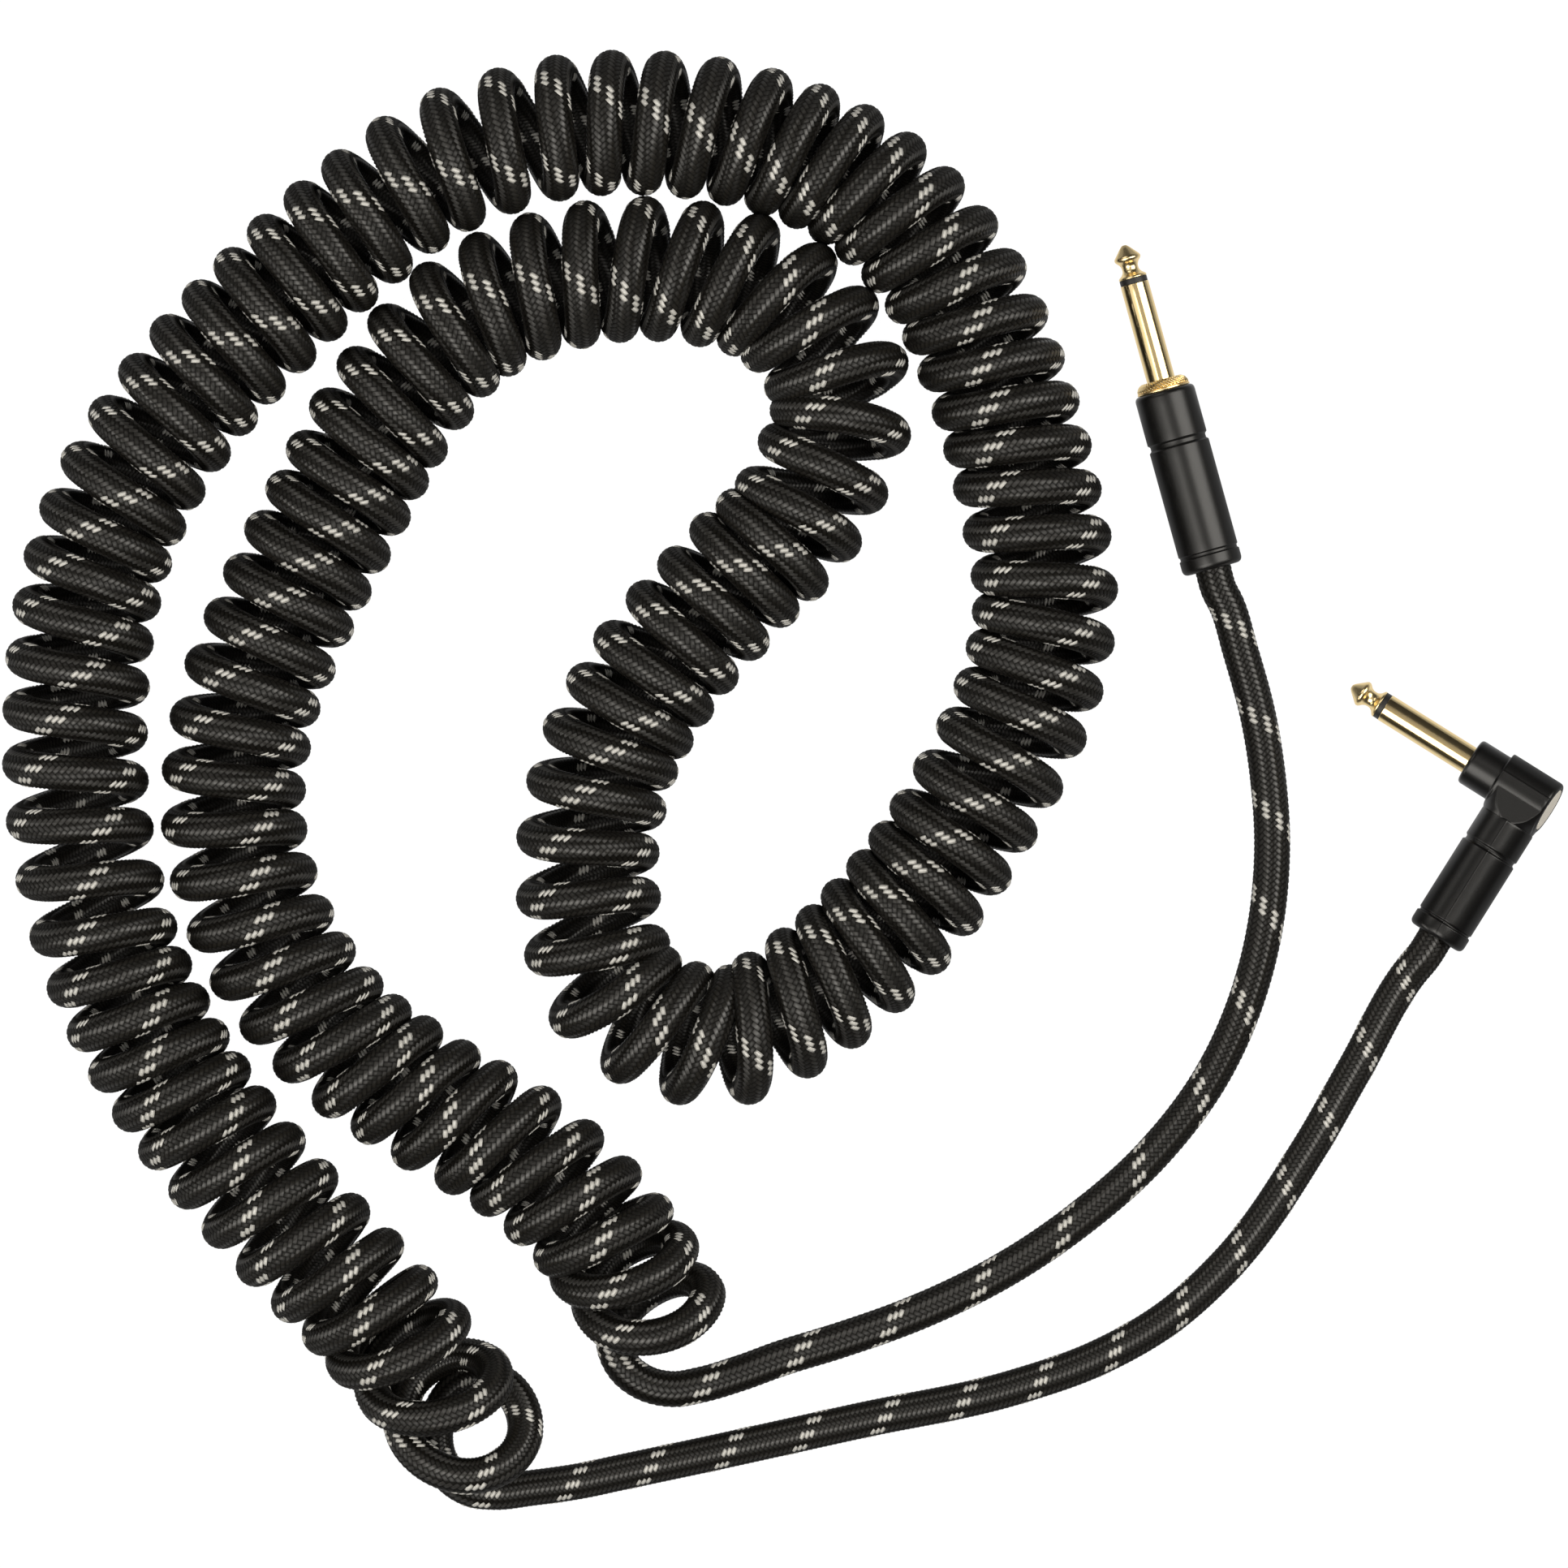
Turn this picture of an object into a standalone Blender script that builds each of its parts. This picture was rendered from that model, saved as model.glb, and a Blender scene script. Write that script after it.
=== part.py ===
# Coiled instrument cable: a heat-set curly cord with a straight quarter-inch plug on one end and a
# right-angle one on the other. Metres, +Z up, everything lying on the surface z = 0. The origin is the
# middle of the two plugs' footprint.
import math

import bmesh
import bpy
import numpy as np
from mathutils import Matrix, Vector

MM = 0.001
NAME = "instrument_cable"

# Shared plug finger, in mm, measured from the shoulder towards the tip.
FINGER = 30.9
SLEEVE_R = 3.175
TIP_R = 3.0
NECK_R = 1.85
RING_FRONT = 23.35
RING_BACK = 22.15
SLEEVE_FRONT = 22.1
SLEEVE_BORE_R = 2.1
ROD_R = 1.1
TUBE_R = (1.25, 1.95)

# Straight plug: shoulder centre, direction of the tip in plan, and stations behind the shoulder.
STRAIGHT_AT = (-39.42, 48.38)
STRAIGHT_DIR = (-0.2658, 0.9640)
COLLAR_L = 2.4
SHANK_R = 4.4
SHANK_END = 8.4
BARREL_R = 6.78
LIP_R = 6.825
BARREL_END = 43.5
GROOVE_1 = (13.5, 15.3)
GROOVE_2 = (39.2, 40.3)
CAVITY_R = 5.4
EXIT_R = 4.3
PLUG_Z = 6.825

# Right-angle plug: where its two axes cross, the direction of the tip in plan, and its roll, tip down.
ANGLE_AT = (41.21, -43.61)
ANGLE_Z = 7.03
ANGLE_DIR = 147.87
ANGLE_ROLL = 5.0
ELBOW = 14.4
BOSS_R = 5.4
BOSS_L = 7.6
HEAD_R = 6.45
HEAD_BACK = -6.4
FLAT_Z = 6.15
COLLAR_A = (6.6, 13.9, 6.5)
MAIN_A = (15.3, 33.0, 6.62)
LIP_A = (33.9, 37.3, 6.76)
CELL_R = 4.6

# Cord.
CORD_R = 4.05
COIL_R = 16.2
TABLE_GAP = 0.05
JOIN_GAP = 0.3
JACKET_S = 24.6
JACKET_A = 22.6

# Plan route of the coil's centreline, outer end first.
COIL_ROUTE = (
    (-192.6, -183.2), (-199.0, -174.9), (-215.5, -156.1), (-233.1, -137.9), (-249.4, -118.8),
    (-263.2, -97.6), (-273.3, -74.6), (-278.8, -50.0), (-279.9, -24.9), (-276.9, 0.2),
    (-268.7, 23.9), (-254.9, 44.8), (-237.8, 63.5), (-219.5, 80.8), (-199.0, 95.5),
    (-175.3, 103.6), (-150.1, 105.4), (-125.0, 101.6), (-101.6, 90.2), (-84.4, 71.2),
    (-75.2, 47.8), (-69.0, 23.4), (-65.3, -1.4), (-71.0, -25.8), (-82.5, -48.1),
    (-97.0, -68.8), (-115.2, -86.1), (-137.5, -96.8), (-158.9, -88.2), (-166.4, -64.0),
    (-163.3, -39.2), (-151.9, -16.9), (-135.5, 2.4), (-119.2, 20.5), (-112.4, 43.4),
    (-124.4, 62.6), (-147.0, 70.3), (-171.6, 69.4), (-194.0, 59.8), (-209.6, 40.8),
    (-221.8, 19.2), (-233.2, -3.5), (-241.8, -27.0), (-243.4, -52.1), (-236.2, -75.9),
    (-221.6, -96.2), (-201.5, -111.0), (-180.1, -124.0), (-162.1, -141.4), (-155.2, -150.4),
)
# Leads, from the plug to the coil. Heights are the cord's centre.
LEAD_STRAIGHT = (
    (-22.9, -11.6, 6.3), (-18.0, -26.6, 5.2), (-15.6, -40.7, 4.3), (-14.6, -54.9, 4.1),
    (-15.8, -72.8, 4.1), (-19.4, -87.2, 4.1), (-27.1, -105.0, 4.1), (-41.6, -124.4, 4.1),
    (-56.9, -137.9, 4.1), (-73.1, -148.9, 4.1), (-91.1, -157.9, 4.1), (-110.9, -165.1, 4.1),
    (-129.2, -170.5, 4.1), (-144.5, -176.0, 4.1), (-152.0, -176.6, 4.1), (-157.4, -172.0, 4.1),
    (-158.7, -165.2, 4.1),
)
LEAD_ANGLE = (
    (15.7, -84.2, 5.9), (4.0, -104.5, 4.7), (-6.2, -122.5, 4.1), (-24.0, -147.7, 4.1),
    (-37.5, -160.0, 4.1), (-53.5, -169.2, 4.1), (-71.5, -175.5, 4.1), (-105.9, -182.9, 4.1),
    (-141.9, -190.7, 4.1), (-159.9, -194.5, 4.1), (-177.7, -198.3, 4.1), (-185.8, -199.0, 4.1),
    (-191.3, -195.4, 4.1),
)
LEAD_STRAIGHT_SIDE = -7.4
LEAD_ANGLE_SIDE = -6.0


def clear_scene():
    for obj in list(bpy.data.objects):
        bpy.data.objects.remove(obj, do_unlink=True)


def collection(name, hidden=False):
    group = bpy.data.collections.new(name)
    bpy.context.scene.collection.children.link(group)
    group.hide_render = hidden
    return group


def material(name, colour, metallic=0.0, roughness=0.5):
    made = bpy.data.materials.new(name)
    made.use_nodes = True
    shader = made.node_tree.nodes["Principled BSDF"]
    shader.inputs["Base Color"].default_value = (*colour, 1.0)
    shader.inputs["Metallic"].default_value = metallic
    shader.inputs["Roughness"].default_value = roughness
    return made


def frame_from(x_axis, y_axis, z_axis, at):
    rows = zip(x_axis, y_axis, z_axis, at)
    return Matrix([*[list(row) for row in rows], [0, 0, 0, 1]])


def straight_frame():
    """Local +Z runs from the shoulder to the tip, and local +X points down."""
    z_axis = Vector((*STRAIGHT_DIR, 0)).normalized()
    x_axis = Vector((0, 0, -1))
    y_axis = z_axis.cross(x_axis)
    at = Vector((*STRAIGHT_AT, PLUG_Z)) * MM
    return frame_from(x_axis, y_axis, z_axis, at)


def angle_frame():
    """Local +X runs to the tip, local +Y down the barrel to the cord. Rolled about the barrel."""
    turn = Matrix.Rotation(math.radians(ANGLE_DIR), 4, "Z")
    roll = Matrix.Rotation(math.radians(ANGLE_ROLL), 4, "Y")
    at = Matrix.Translation(Vector((*ANGLE_AT, ANGLE_Z)) * MM)
    return at @ turn @ roll


ALONG_X = frame_from((0, 0, -1), (0, 1, 0), (1, 0, 0), (0, 0, 0))
ALONG_Y = frame_from((0, 0, -1), (-1, 0, 0), (0, 1, 0), (0, 0, 0))
TO_HEAD = frame_from((0, 0, -1), (1, 0, 0), (0, -1, 0), (0, 0, 0))


def filleted(points, radii, steps=3):
    """The (r, z) points with an arc in place of each corner named in radii by its index."""
    out = []
    for i, p in enumerate(points):
        size = radii.get(i, 0)
        if not size:
            out.append(p)
            continue
        here = np.array(p, float)
        before = np.array(points[i - 1], float) - here
        after = np.array(points[(i + 1) % len(points)], float) - here
        start = here + before / np.linalg.norm(before) * size
        end = here + after / np.linalg.norm(after) * size
        for t in np.linspace(0, 1, steps + 1):
            q = (1 - t) ** 2 * start + 2 * t * (1 - t) * here + t**2 * end
            out.append((float(q[0]), float(q[1])))
    return out


def turned(name, profile, group, place, steps=24, ring=False):
    """A turned solid. profile holds (r, z), outer side from +z to -z; ring closes it into a loop."""
    points = [(r * MM, 0, z * MM) for r, z in profile]
    edges = [(i, i + 1) for i in range(len(points) - 1)]
    if ring:
        edges.append((len(points) - 1, 0))
    mesh = bpy.data.meshes.new(name)
    mesh.from_pydata(points, edges, [])
    obj = bpy.data.objects.new(name, mesh)
    group.objects.link(obj)
    obj.matrix_world = place
    screw = obj.modifiers.new("turn", "SCREW")
    screw.steps = steps
    screw.render_steps = steps
    screw.use_merge_vertices = True
    screw.merge_threshold = 0.00001
    screw.use_smooth_shade = True
    return obj


def tube(name, radii, ends, group, place, steps=24):
    """A plain tube: radii (inner, outer), ends (high z, low z)."""
    inner, outer = radii
    high, low = ends
    loop = [(outer, high), (outer, low), (inner, low), (inner, high)]
    return turned(name, loop, group, place, steps, ring=True)


def box(name, low, high, group, place):
    """A block between two corners."""
    low = Vector(low) * MM
    high = Vector(high) * MM
    bm = bmesh.new()
    bmesh.ops.create_cube(bm, size=1.0)
    bmesh.ops.scale(bm, vec=high - low, verts=bm.verts)
    bmesh.ops.translate(bm, vec=(high + low) / 2, verts=bm.verts)
    mesh = bpy.data.meshes.new(name)
    bm.to_mesh(mesh)
    bm.free()
    obj = bpy.data.objects.new(name, mesh)
    group.objects.link(obj)
    obj.matrix_world = place
    return obj


def plate(name, outline, low, high, group, place):
    """A flat outline in x and y, thickened from z low to z high, as a mesh."""
    flat = bpy.data.curves.new(name + "_outline", "CURVE")
    flat.dimensions = "2D"
    flat.fill_mode = "BOTH"
    flat.extrude = (high - low) / 2 * MM
    line = flat.splines.new("POLY")
    line.points.add(len(outline) - 1)
    for point, (x, y) in zip(line.points, outline):
        point.co = (x * MM, y * MM, 0, 1)
    line.use_cyclic_u = True
    guide = bpy.data.objects.new(name + "_outline", flat)
    group.objects.link(guide)
    bpy.context.view_layer.update()
    graph = bpy.context.evaluated_depsgraph_get()
    mesh = bpy.data.meshes.new_from_object(guide.evaluated_get(graph))
    bpy.data.objects.remove(guide)
    bm = bmesh.new()
    bm.from_mesh(mesh)
    bmesh.ops.remove_doubles(bm, verts=bm.verts, dist=0.000001)
    bmesh.ops.translate(bm, vec=(0, 0, (high + low) / 2 * MM), verts=bm.verts)
    bmesh.ops.recalc_face_normals(bm, faces=bm.faces)
    bm.to_mesh(mesh)
    bm.free()
    obj = bpy.data.objects.new(name, mesh)
    group.objects.link(obj)
    obj.matrix_world = place
    return obj


def boolean(obj, other, operation):
    mod = obj.modifiers.new(other.name, "BOOLEAN")
    mod.operation = operation
    mod.solver = "EXACT"
    mod.object = other
    return obj


def as_cutter(obj):
    obj.display_type = "WIRE"
    obj.hide_render = True
    return obj


def cord(name, points, radius, group, resolution=2):
    """A round cord through the points, which are in mm, with closed ends."""
    data = bpy.data.curves.new(name, "CURVE")
    data.dimensions = "3D"
    data.bevel_depth = radius * MM
    data.bevel_resolution = resolution
    data.use_fill_caps = True
    line = data.splines.new("POLY")
    line.points.add(len(points) - 1)
    for point, at in zip(line.points, points):
        point.co = (*[v * MM for v in at], 1)
    obj = bpy.data.objects.new(name, data)
    group.objects.link(obj)
    return obj


def smooth_route(points, count):
    """count points, evenly spaced, on the cubic that passes through every route point."""
    pts = np.array(points, float)
    knots = np.concatenate([[0], np.cumsum(np.linalg.norm(np.diff(pts, axis=0), axis=1))])
    slopes = np.gradient(pts, knots, axis=0)
    t = np.linspace(0, knots[-1], 3000)
    i = np.clip(np.searchsorted(knots, t, "right") - 1, 0, len(knots) - 2)
    h = (knots[i + 1] - knots[i])[:, None]
    u = (t[:, None] - knots[i][:, None]) / h
    a = (2 * u**3 - 3 * u**2 + 1) * pts[i]
    b = (u**3 - 2 * u**2 + u) * h * slopes[i]
    c = (-2 * u**3 + 3 * u**2) * pts[i + 1]
    d = (u**3 - u**2) * h * slopes[i + 1]
    line = a + b + c + d
    run = np.concatenate([[0], np.cumsum(np.linalg.norm(np.diff(line, axis=0), axis=1))])
    wanted = np.linspace(0, run[-1], count)
    return np.stack([np.interp(wanted, run, line[:, k]) for k in range(3)], 1)


def give(obj, mat):
    obj.data.materials.append(mat)
    return obj


def finger_parts(tag, group, place, gold, black, white):
    """The tip with its rod, the insulating ring and the rod's insulating tube, shoulder at z = 0."""
    rod_end = -10.7 if tag == "straight" else -12.9
    tip = [
        (0, FINGER), (0.45, FINGER), (1.0, FINGER - 0.45), (TIP_R - 0.12, FINGER - 2.6),
        (TIP_R, FINGER - 3.0), (TIP_R - 0.15, FINGER - 3.45), (2.2, FINGER - 4.1),
        (NECK_R, FINGER - 4.8), (NECK_R, FINGER - 5.8), (2.3, FINGER - 6.5),
        (3.0, FINGER - 7.0), (3.15, FINGER - 7.25), (3.15, RING_FRONT + 0.05),
        (ROD_R, RING_FRONT + 0.05), (ROD_R, rod_end), (0, rod_end),
    ]
    give(turned(f"{tag}_tip", tip, group, place, 24), gold)
    ends = (RING_FRONT, RING_BACK)
    give(tube(f"{tag}_tip_ring", (ROD_R + 0.15, 3.08), ends, group, place), black)
    ends = (RING_BACK - 0.1, -8.2 if tag == "straight" else -10.2)
    give(tube(f"{tag}_rod_insulator", TUBE_R, ends, group, place, 20), white)


def straight_metal(group, place, gold, white):
    loop = [
        (SLEEVE_R, SLEEVE_FRONT), (SLEEVE_R, -8.0), (SLEEVE_BORE_R, -8.0),
        (SLEEVE_BORE_R, SLEEVE_FRONT),
    ]
    give(turned("straight_sleeve", loop, group, place, 24, ring=True), gold)
    loop = [
        (4.55, 0), (5.35, -0.55), (5.8, -1.35), (5.85, -1.85), (5.95, -1.95), (5.95, -COLLAR_L),
        (SHANK_R, -COLLAR_L), (SHANK_R, -SHANK_END), (SLEEVE_R + 0.06, -SHANK_END),
        (SLEEVE_R + 0.06, 0),
    ]
    give(turned("straight_body", loop, group, place, 28, ring=True), gold)
    give(tube("straight_back_washer", (1.25, 3.4), (-9.05, -9.75), group, place, 20), white)


def straight_tip_lug(group, cutters, place, steel):
    ring = tube("straight_tip_lug", (1.22, 2.5), (-9.85, -10.25), group, place, 20)
    tab = as_cutter(box("lug_tab", (-1, -3.0, -14.6), (1, -2.0, -9.85), cutters, place))
    return give(boolean(ring, tab, "UNION"), steel)


def c_outline(inner, outer, half_gap, steps=16):
    """A ring in plan with a gap of twice half_gap degrees at -x."""
    angles = np.radians(np.linspace(-180 + half_gap, 180 - half_gap, steps))
    outside = [(outer * math.cos(a), outer * math.sin(a)) for a in angles]
    inside = [(inner * math.cos(a), inner * math.sin(a)) for a in angles[::-1]]
    return outside + inside


def straight_ground_clamp(group, cutters, place, steel):
    """Ring behind the shank, a tongue along the barrel and a crimp that grips the jacket."""
    ring = tube("straight_ground_clamp", (2.2, 4.15), (-8.5, -8.9), group, place, 20)
    step = -JACKET_S + 0.3
    tongue = box("tongue", (3.6, -1.4, step), (4.05, 1.4, -8.6), cutters, place)
    joggle = box("joggle", (3.6, -1.4, step), (4.6, 1.4, step + 0.6), cutters, place)
    grip = c_outline(CORD_R + 0.12, CORD_R + 0.6, 60)
    crimp = plate("crimp", grip, step - 4.4, step + 0.4, cutters, place)
    for piece in (tongue, joggle, crimp):
        boolean(ring, as_cutter(piece), "UNION")
    return give(ring, steel)


def straight_barrel(group, place, paint):
    g1, g2 = GROOVE_1, GROOVE_2
    loop = [
        (BARREL_R, -COLLAR_L - 0.05), (BARREL_R, -g1[0]), (BARREL_R - 0.48, -g1[0] - 0.45),
        (BARREL_R - 0.48, -g1[1] + 0.45), (BARREL_R, -g1[1]), (BARREL_R, -g2[0]),
        (BARREL_R - 0.3, -g2[0] - 0.3), (BARREL_R - 0.3, -g2[1] + 0.25), (LIP_R, -g2[1]),
        (LIP_R, -BARREL_END), (EXIT_R + 0.5, -BARREL_END), (EXIT_R, -BARREL_END + 1.2),
        (EXIT_R, -37.9), (CAVITY_R, -37.9), (CAVITY_R, -SHANK_END - 0.3),
        (SHANK_R + 0.3, -SHANK_END - 0.3), (SHANK_R + 0.3, -COLLAR_L - 0.05),
    ]
    loop = filleted(loop, {0: 1.1, 9: 1.5})
    give(turned("straight_barrel", loop, group, place, 32, ring=True), paint)


def straight_liners(group, place, liner, rubber):
    give(tube("straight_liner", (4.8, 5.2), (-9.3, -32.6), group, place), liner)
    ends = (-32.9, -37.6)
    give(tube("straight_strain_relief", (CORD_R + 0.15, 5.2), ends, group, place), rubber)


def wires(tag, place, jacket, side, lug, clamp, group, copper, cotton, braid):
    """Core insulation, the bare core to the tip lug, and the twisted shield to the ground strip.

    Local +Z runs to the plug's head, and side is the direction of the ground strip."""
    front = -jacket + 0.3
    side = np.array((*side, 0.0))
    ins = [(0, 0, front), (0, 0, front + 3.0), (-0.1, 0.2, front + 5.2)]
    obj = give(cord(f"{tag}_core_insulation", ins, 1.15, group), cotton)
    obj.matrix_world = place
    end = np.array(lug, float)
    start = np.array((-0.13, 0.25, front + 5.5))
    core = [start, start + (end - start) * (0.2, 0.2, 0.45), end]
    obj = give(cord(f"{tag}_core_wire", core, 0.42, group, 1), copper)
    obj.matrix_world = place
    end = side * clamp[0] + np.array((0, 0, clamp[1]))
    rise = np.array((0, 0, 1.6))
    shield = [side * 2.1 + (0, 0, front), side * 2.3 + rise + (0, 0, front), end - rise, end]
    obj = give(cord(f"{tag}_shield_pigtail", shield, 0.6, group, 1), braid)
    obj.matrix_world = place


def angle_metal(group, place, gold, white):
    """The finger's sleeve with the flange that the head grips, and the washer behind it."""
    loop = [
        (SLEEVE_R, SLEEVE_FRONT), (SLEEVE_R, -9.8), (3.95, -9.8), (3.95, -10.5),
        (SLEEVE_BORE_R, -10.5), (SLEEVE_BORE_R, SLEEVE_FRONT),
    ]
    give(turned("angle_sleeve", loop, group, place, 24, ring=True), gold)
    give(tube("angle_back_washer", (1.25, 3.4), (-11.0, -11.6), group, place, 20), white)


def angle_tip_lug(group, cutters, place, steel):
    ring = tube("angle_tip_lug", (1.22, 2.4), (-11.7, -12.05), group, place, 20)
    tab = as_cutter(box("angle_lug_tab", (-0.9, 2.0, -12.05), (0.9, 6.0, -11.7), cutters, place))
    return give(boolean(ring, tab, "UNION"), steel)


def angle_ground_lug(group, cutters, place, finger, steel):
    """Eyelet behind the sleeve's flange, a strip down the neck and a crimp on the jacket."""
    high = ELBOW - 10.6
    low = ELBOW - 10.9
    step = JACKET_A - 0.3
    ring = tube("angle_ground_lug", (2.2, 3.6), (-10.6, -10.9), group, finger, 20)
    strip = box("strip", (low, 3.0, -1.2), (high, step, 1.2), cutters, place)
    joggle = box("strip_joggle", (low, step - 0.6, -1.2), (4.6, step, 1.2), cutters, place)
    grip = c_outline(CORD_R + 0.12, CORD_R + 0.6, 60)
    crimp = plate("strip_crimp", grip, -step - 4.2, -step + 0.4, cutters, place @ TO_HEAD)
    for piece in (strip, joggle, crimp):
        boolean(ring, as_cutter(piece), "UNION")
    return give(ring, steel)


def head_outline():
    """Plan of the head's flat-topped block: it narrows in chamfers towards the barrel."""
    return [(-5.0, -2.0), (6.6, -2.0), (6.6, 1.4), (3.2, 5.9), (-0.6, 5.9), (-3.9, 2.4), (-5.0, 0.4)]


def angle_head(group, cutters, place, plastic):
    x_place = place @ ALONG_X
    y_place = place @ ALONG_Y
    front = ELBOW - BOSS_L
    outer = [
        (0, ELBOW), (BOSS_R, ELBOW), (BOSS_R, front), (HEAD_R, front), (HEAD_R, HEAD_BACK),
        (0, HEAD_BACK),
    ]
    outer = filleted(outer, {1: 0.9, 3: 0.4, 4: 1.0})
    head = turned("angle_head", outer, group, x_place, 32)
    block = plate("head_block", head_outline(), -FLAT_Z, FLAT_Z, cutters, place)
    neck = turned("head_neck", [(0, 13.4), (4.95, 13.4), (4.95, 0.5), (0, 0.5)], cutters, y_place)
    core = [
        (0, ELBOW + 1), (SLEEVE_R + 0.08, ELBOW + 1), (SLEEVE_R + 0.08, 4.8), (CELL_R, 4.8),
        (CELL_R, -5.5), (5.25, -5.5), (5.25, HEAD_BACK - 1), (0, HEAD_BACK - 1),
    ]
    core = turned("head_core", core, cutters, x_place)
    passage = [(0, 14.5), (4.3, 14.5), (4.3, 0.2), (0, 0.2)]
    passage = turned("head_passage", passage, cutters, y_place)
    for piece in (block, neck):
        boolean(head, as_cutter(piece), "UNION")
    for piece in (core, passage):
        boolean(head, as_cutter(piece), "DIFFERENCE")
    give(head, plastic)


def cap_disc(group, place, champagne):
    loop = [(0, -5.6), (5.1, -5.6), (5.1, HEAD_BACK + 0.05), (0, HEAD_BACK + 0.05)]
    give(turned("angle_cap_disc", loop, group, place @ ALONG_X, 32), champagne)


def angle_barrel(group, place, plastic):
    """The moulded barrel over the head's neck, front end first. Local +Z runs to the cord."""
    c0, c1, cr = COLLAR_A
    m0, m1, mr = MAIN_A
    l0, l1, lr = LIP_A
    outer = [
        (cr, c0), (cr, c1), (cr - 0.4, c1 + 0.4), (cr - 0.4, m0 - 0.4), (mr, m0), (mr, m1),
        (mr - 0.35, m1 + 0.3), (mr - 0.35, l0 - 0.3), (lr, l0), (lr, l1), (EXIT_R + 0.5, l1),
        (EXIT_R, l1 - 1.2), (EXIT_R, 31.5), (5.2, 31.5), (5.2, c0),
    ]
    outer = filleted(outer, {0: 0.7, 9: 1.5})
    give(turned("angle_barrel", outer[::-1], group, place @ ALONG_Y, 32, ring=True), plastic)


def angle_bush(group, place, rubber):
    ends = (31.2, 27.0)
    radii = (CORD_R + 0.15, 5.0)
    give(tube("angle_strain_relief", radii, ends, group, place @ ALONG_Y), rubber)


def end_of(points, at_end):
    """(point, unit outward direction) of a route's end, in plan."""
    a, b = (points[-1], points[-2]) if at_end else (points[0], points[1])
    way = (a - b) / np.linalg.norm(a - b)
    return a, way


def cords(group, straight, angle, fabric):
    route = [(x, y, COIL_R + TABLE_GAP) for x, y in COIL_ROUTE]
    coil = smooth_route(route, 84)
    give(cord("coil", coil, COIL_R, group, 4), fabric)
    low = np.array([0, 0, CORD_R + TABLE_GAP - COIL_R])
    joins = []
    for at_end, side in ((True, LEAD_STRAIGHT_SIDE), (False, LEAD_ANGLE_SIDE)):
        face, way = end_of(coil, at_end)
        across = np.array([-way[1], way[0], 0])
        start = face + low + across * side + way * JOIN_GAP
        joins.append([start + way * 5.0, start])
    plug = [
        [straight @ Vector((0, 0, -s * MM)) / MM for s in (JACKET_S, 34.0, 42.0, 49.0)],
        [angle @ Vector((0, s * MM, 0)) / MM for s in (JACKET_A, 30.0, 37.0, 44.0)],
    ]
    routes = (LEAD_STRAIGHT, LEAD_ANGLE)
    for name, head, middle, tail in zip(("lead_straight", "lead_angle"), plug, routes, joins):
        points = [tuple(p) for p in head] + list(middle) + [tuple(p) for p in tail]
        line = smooth_route(points[3:-1], 44)
        line[:, 2] = np.maximum(line[:, 2], CORD_R + TABLE_GAP)
        whole = [*points[:3], *[tuple(p) for p in line], points[-1]]
        give(cord(name, whole, CORD_R, group), fabric)


def build():
    clear_scene()
    parts = collection(NAME)
    cutters = collection(NAME + "_cutters", hidden=True)
    gold = material("gold_plate", (0.83, 0.62, 0.30), 1.0, 0.18)
    copper = material("copper", (0.72, 0.35, 0.2), 1.0, 0.35)
    braid = material("tinned_braid", (0.6, 0.55, 0.5), 1.0, 0.45)
    steel = material("tinned_brass", (0.72, 0.68, 0.58), 1.0, 0.35)
    champagne = material("cap_metal", (0.80, 0.72, 0.58), 0.8, 0.4)
    paint = material("black_satin_metal", (0.022, 0.022, 0.023), 0.0, 0.38)
    plastic = material("black_moulding", (0.02, 0.02, 0.02), 0.0, 0.42)
    black = material("black_insulator", (0.02, 0.018, 0.016), 0.0, 0.4)
    white = material("white_insulator", (0.8, 0.78, 0.72), 0.0, 0.5)
    liner = material("clear_liner", (0.65, 0.66, 0.62), 0.0, 0.3)
    rubber = material("black_rubber", (0.03, 0.03, 0.03), 0.0, 0.7)
    cotton = material("core_insulation", (0.75, 0.1, 0.08), 0.0, 0.5)
    fabric = material("black_tweed", (0.03, 0.028, 0.026), 0.0, 0.75)

    straight = straight_frame()
    finger_parts("straight", parts, straight, gold, black, white)
    straight_metal(parts, straight, gold, white)
    straight_tip_lug(parts, cutters, straight, steel)
    straight_ground_clamp(parts, cutters, straight, steel)
    straight_barrel(parts, straight, paint)
    straight_liners(parts, straight, liner, rubber)
    wires("straight", straight, JACKET_S, (1, 0), (0, -1.4, -12.2), (2.75, -13.0), parts,
          copper, cotton, braid)

    angle = angle_frame()
    finger = angle @ Matrix.Translation((ELBOW * MM, 0, 0)) @ ALONG_X
    finger_parts("angle", parts, finger, gold, black, white)
    angle_metal(parts, finger, gold, white)
    angle_tip_lug(parts, cutters, finger, steel)
    angle_ground_lug(parts, cutters, angle, finger, steel)
    angle_head(parts, cutters, angle, plastic)
    cap_disc(parts, angle, champagne)
    angle_barrel(parts, angle, plastic)
    angle_bush(parts, angle, rubber)
    wires("angle", angle @ TO_HEAD, JACKET_A, (0, 1), (0, 1.6, -5.0), (2.75, -13.0), parts,
          copper, cotton, braid)
    cords(parts, straight, angle, fabric)


build()
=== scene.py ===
# Coiled instrument cable: a braided curly cord between a straight and a right-angle quarter-inch
# plug. Everything is in the CAD's frame, in metres unless a name or comment says millimetres.
import math

import bmesh
import bpy
import numpy as np
from mathutils import Matrix, Vector


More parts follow.
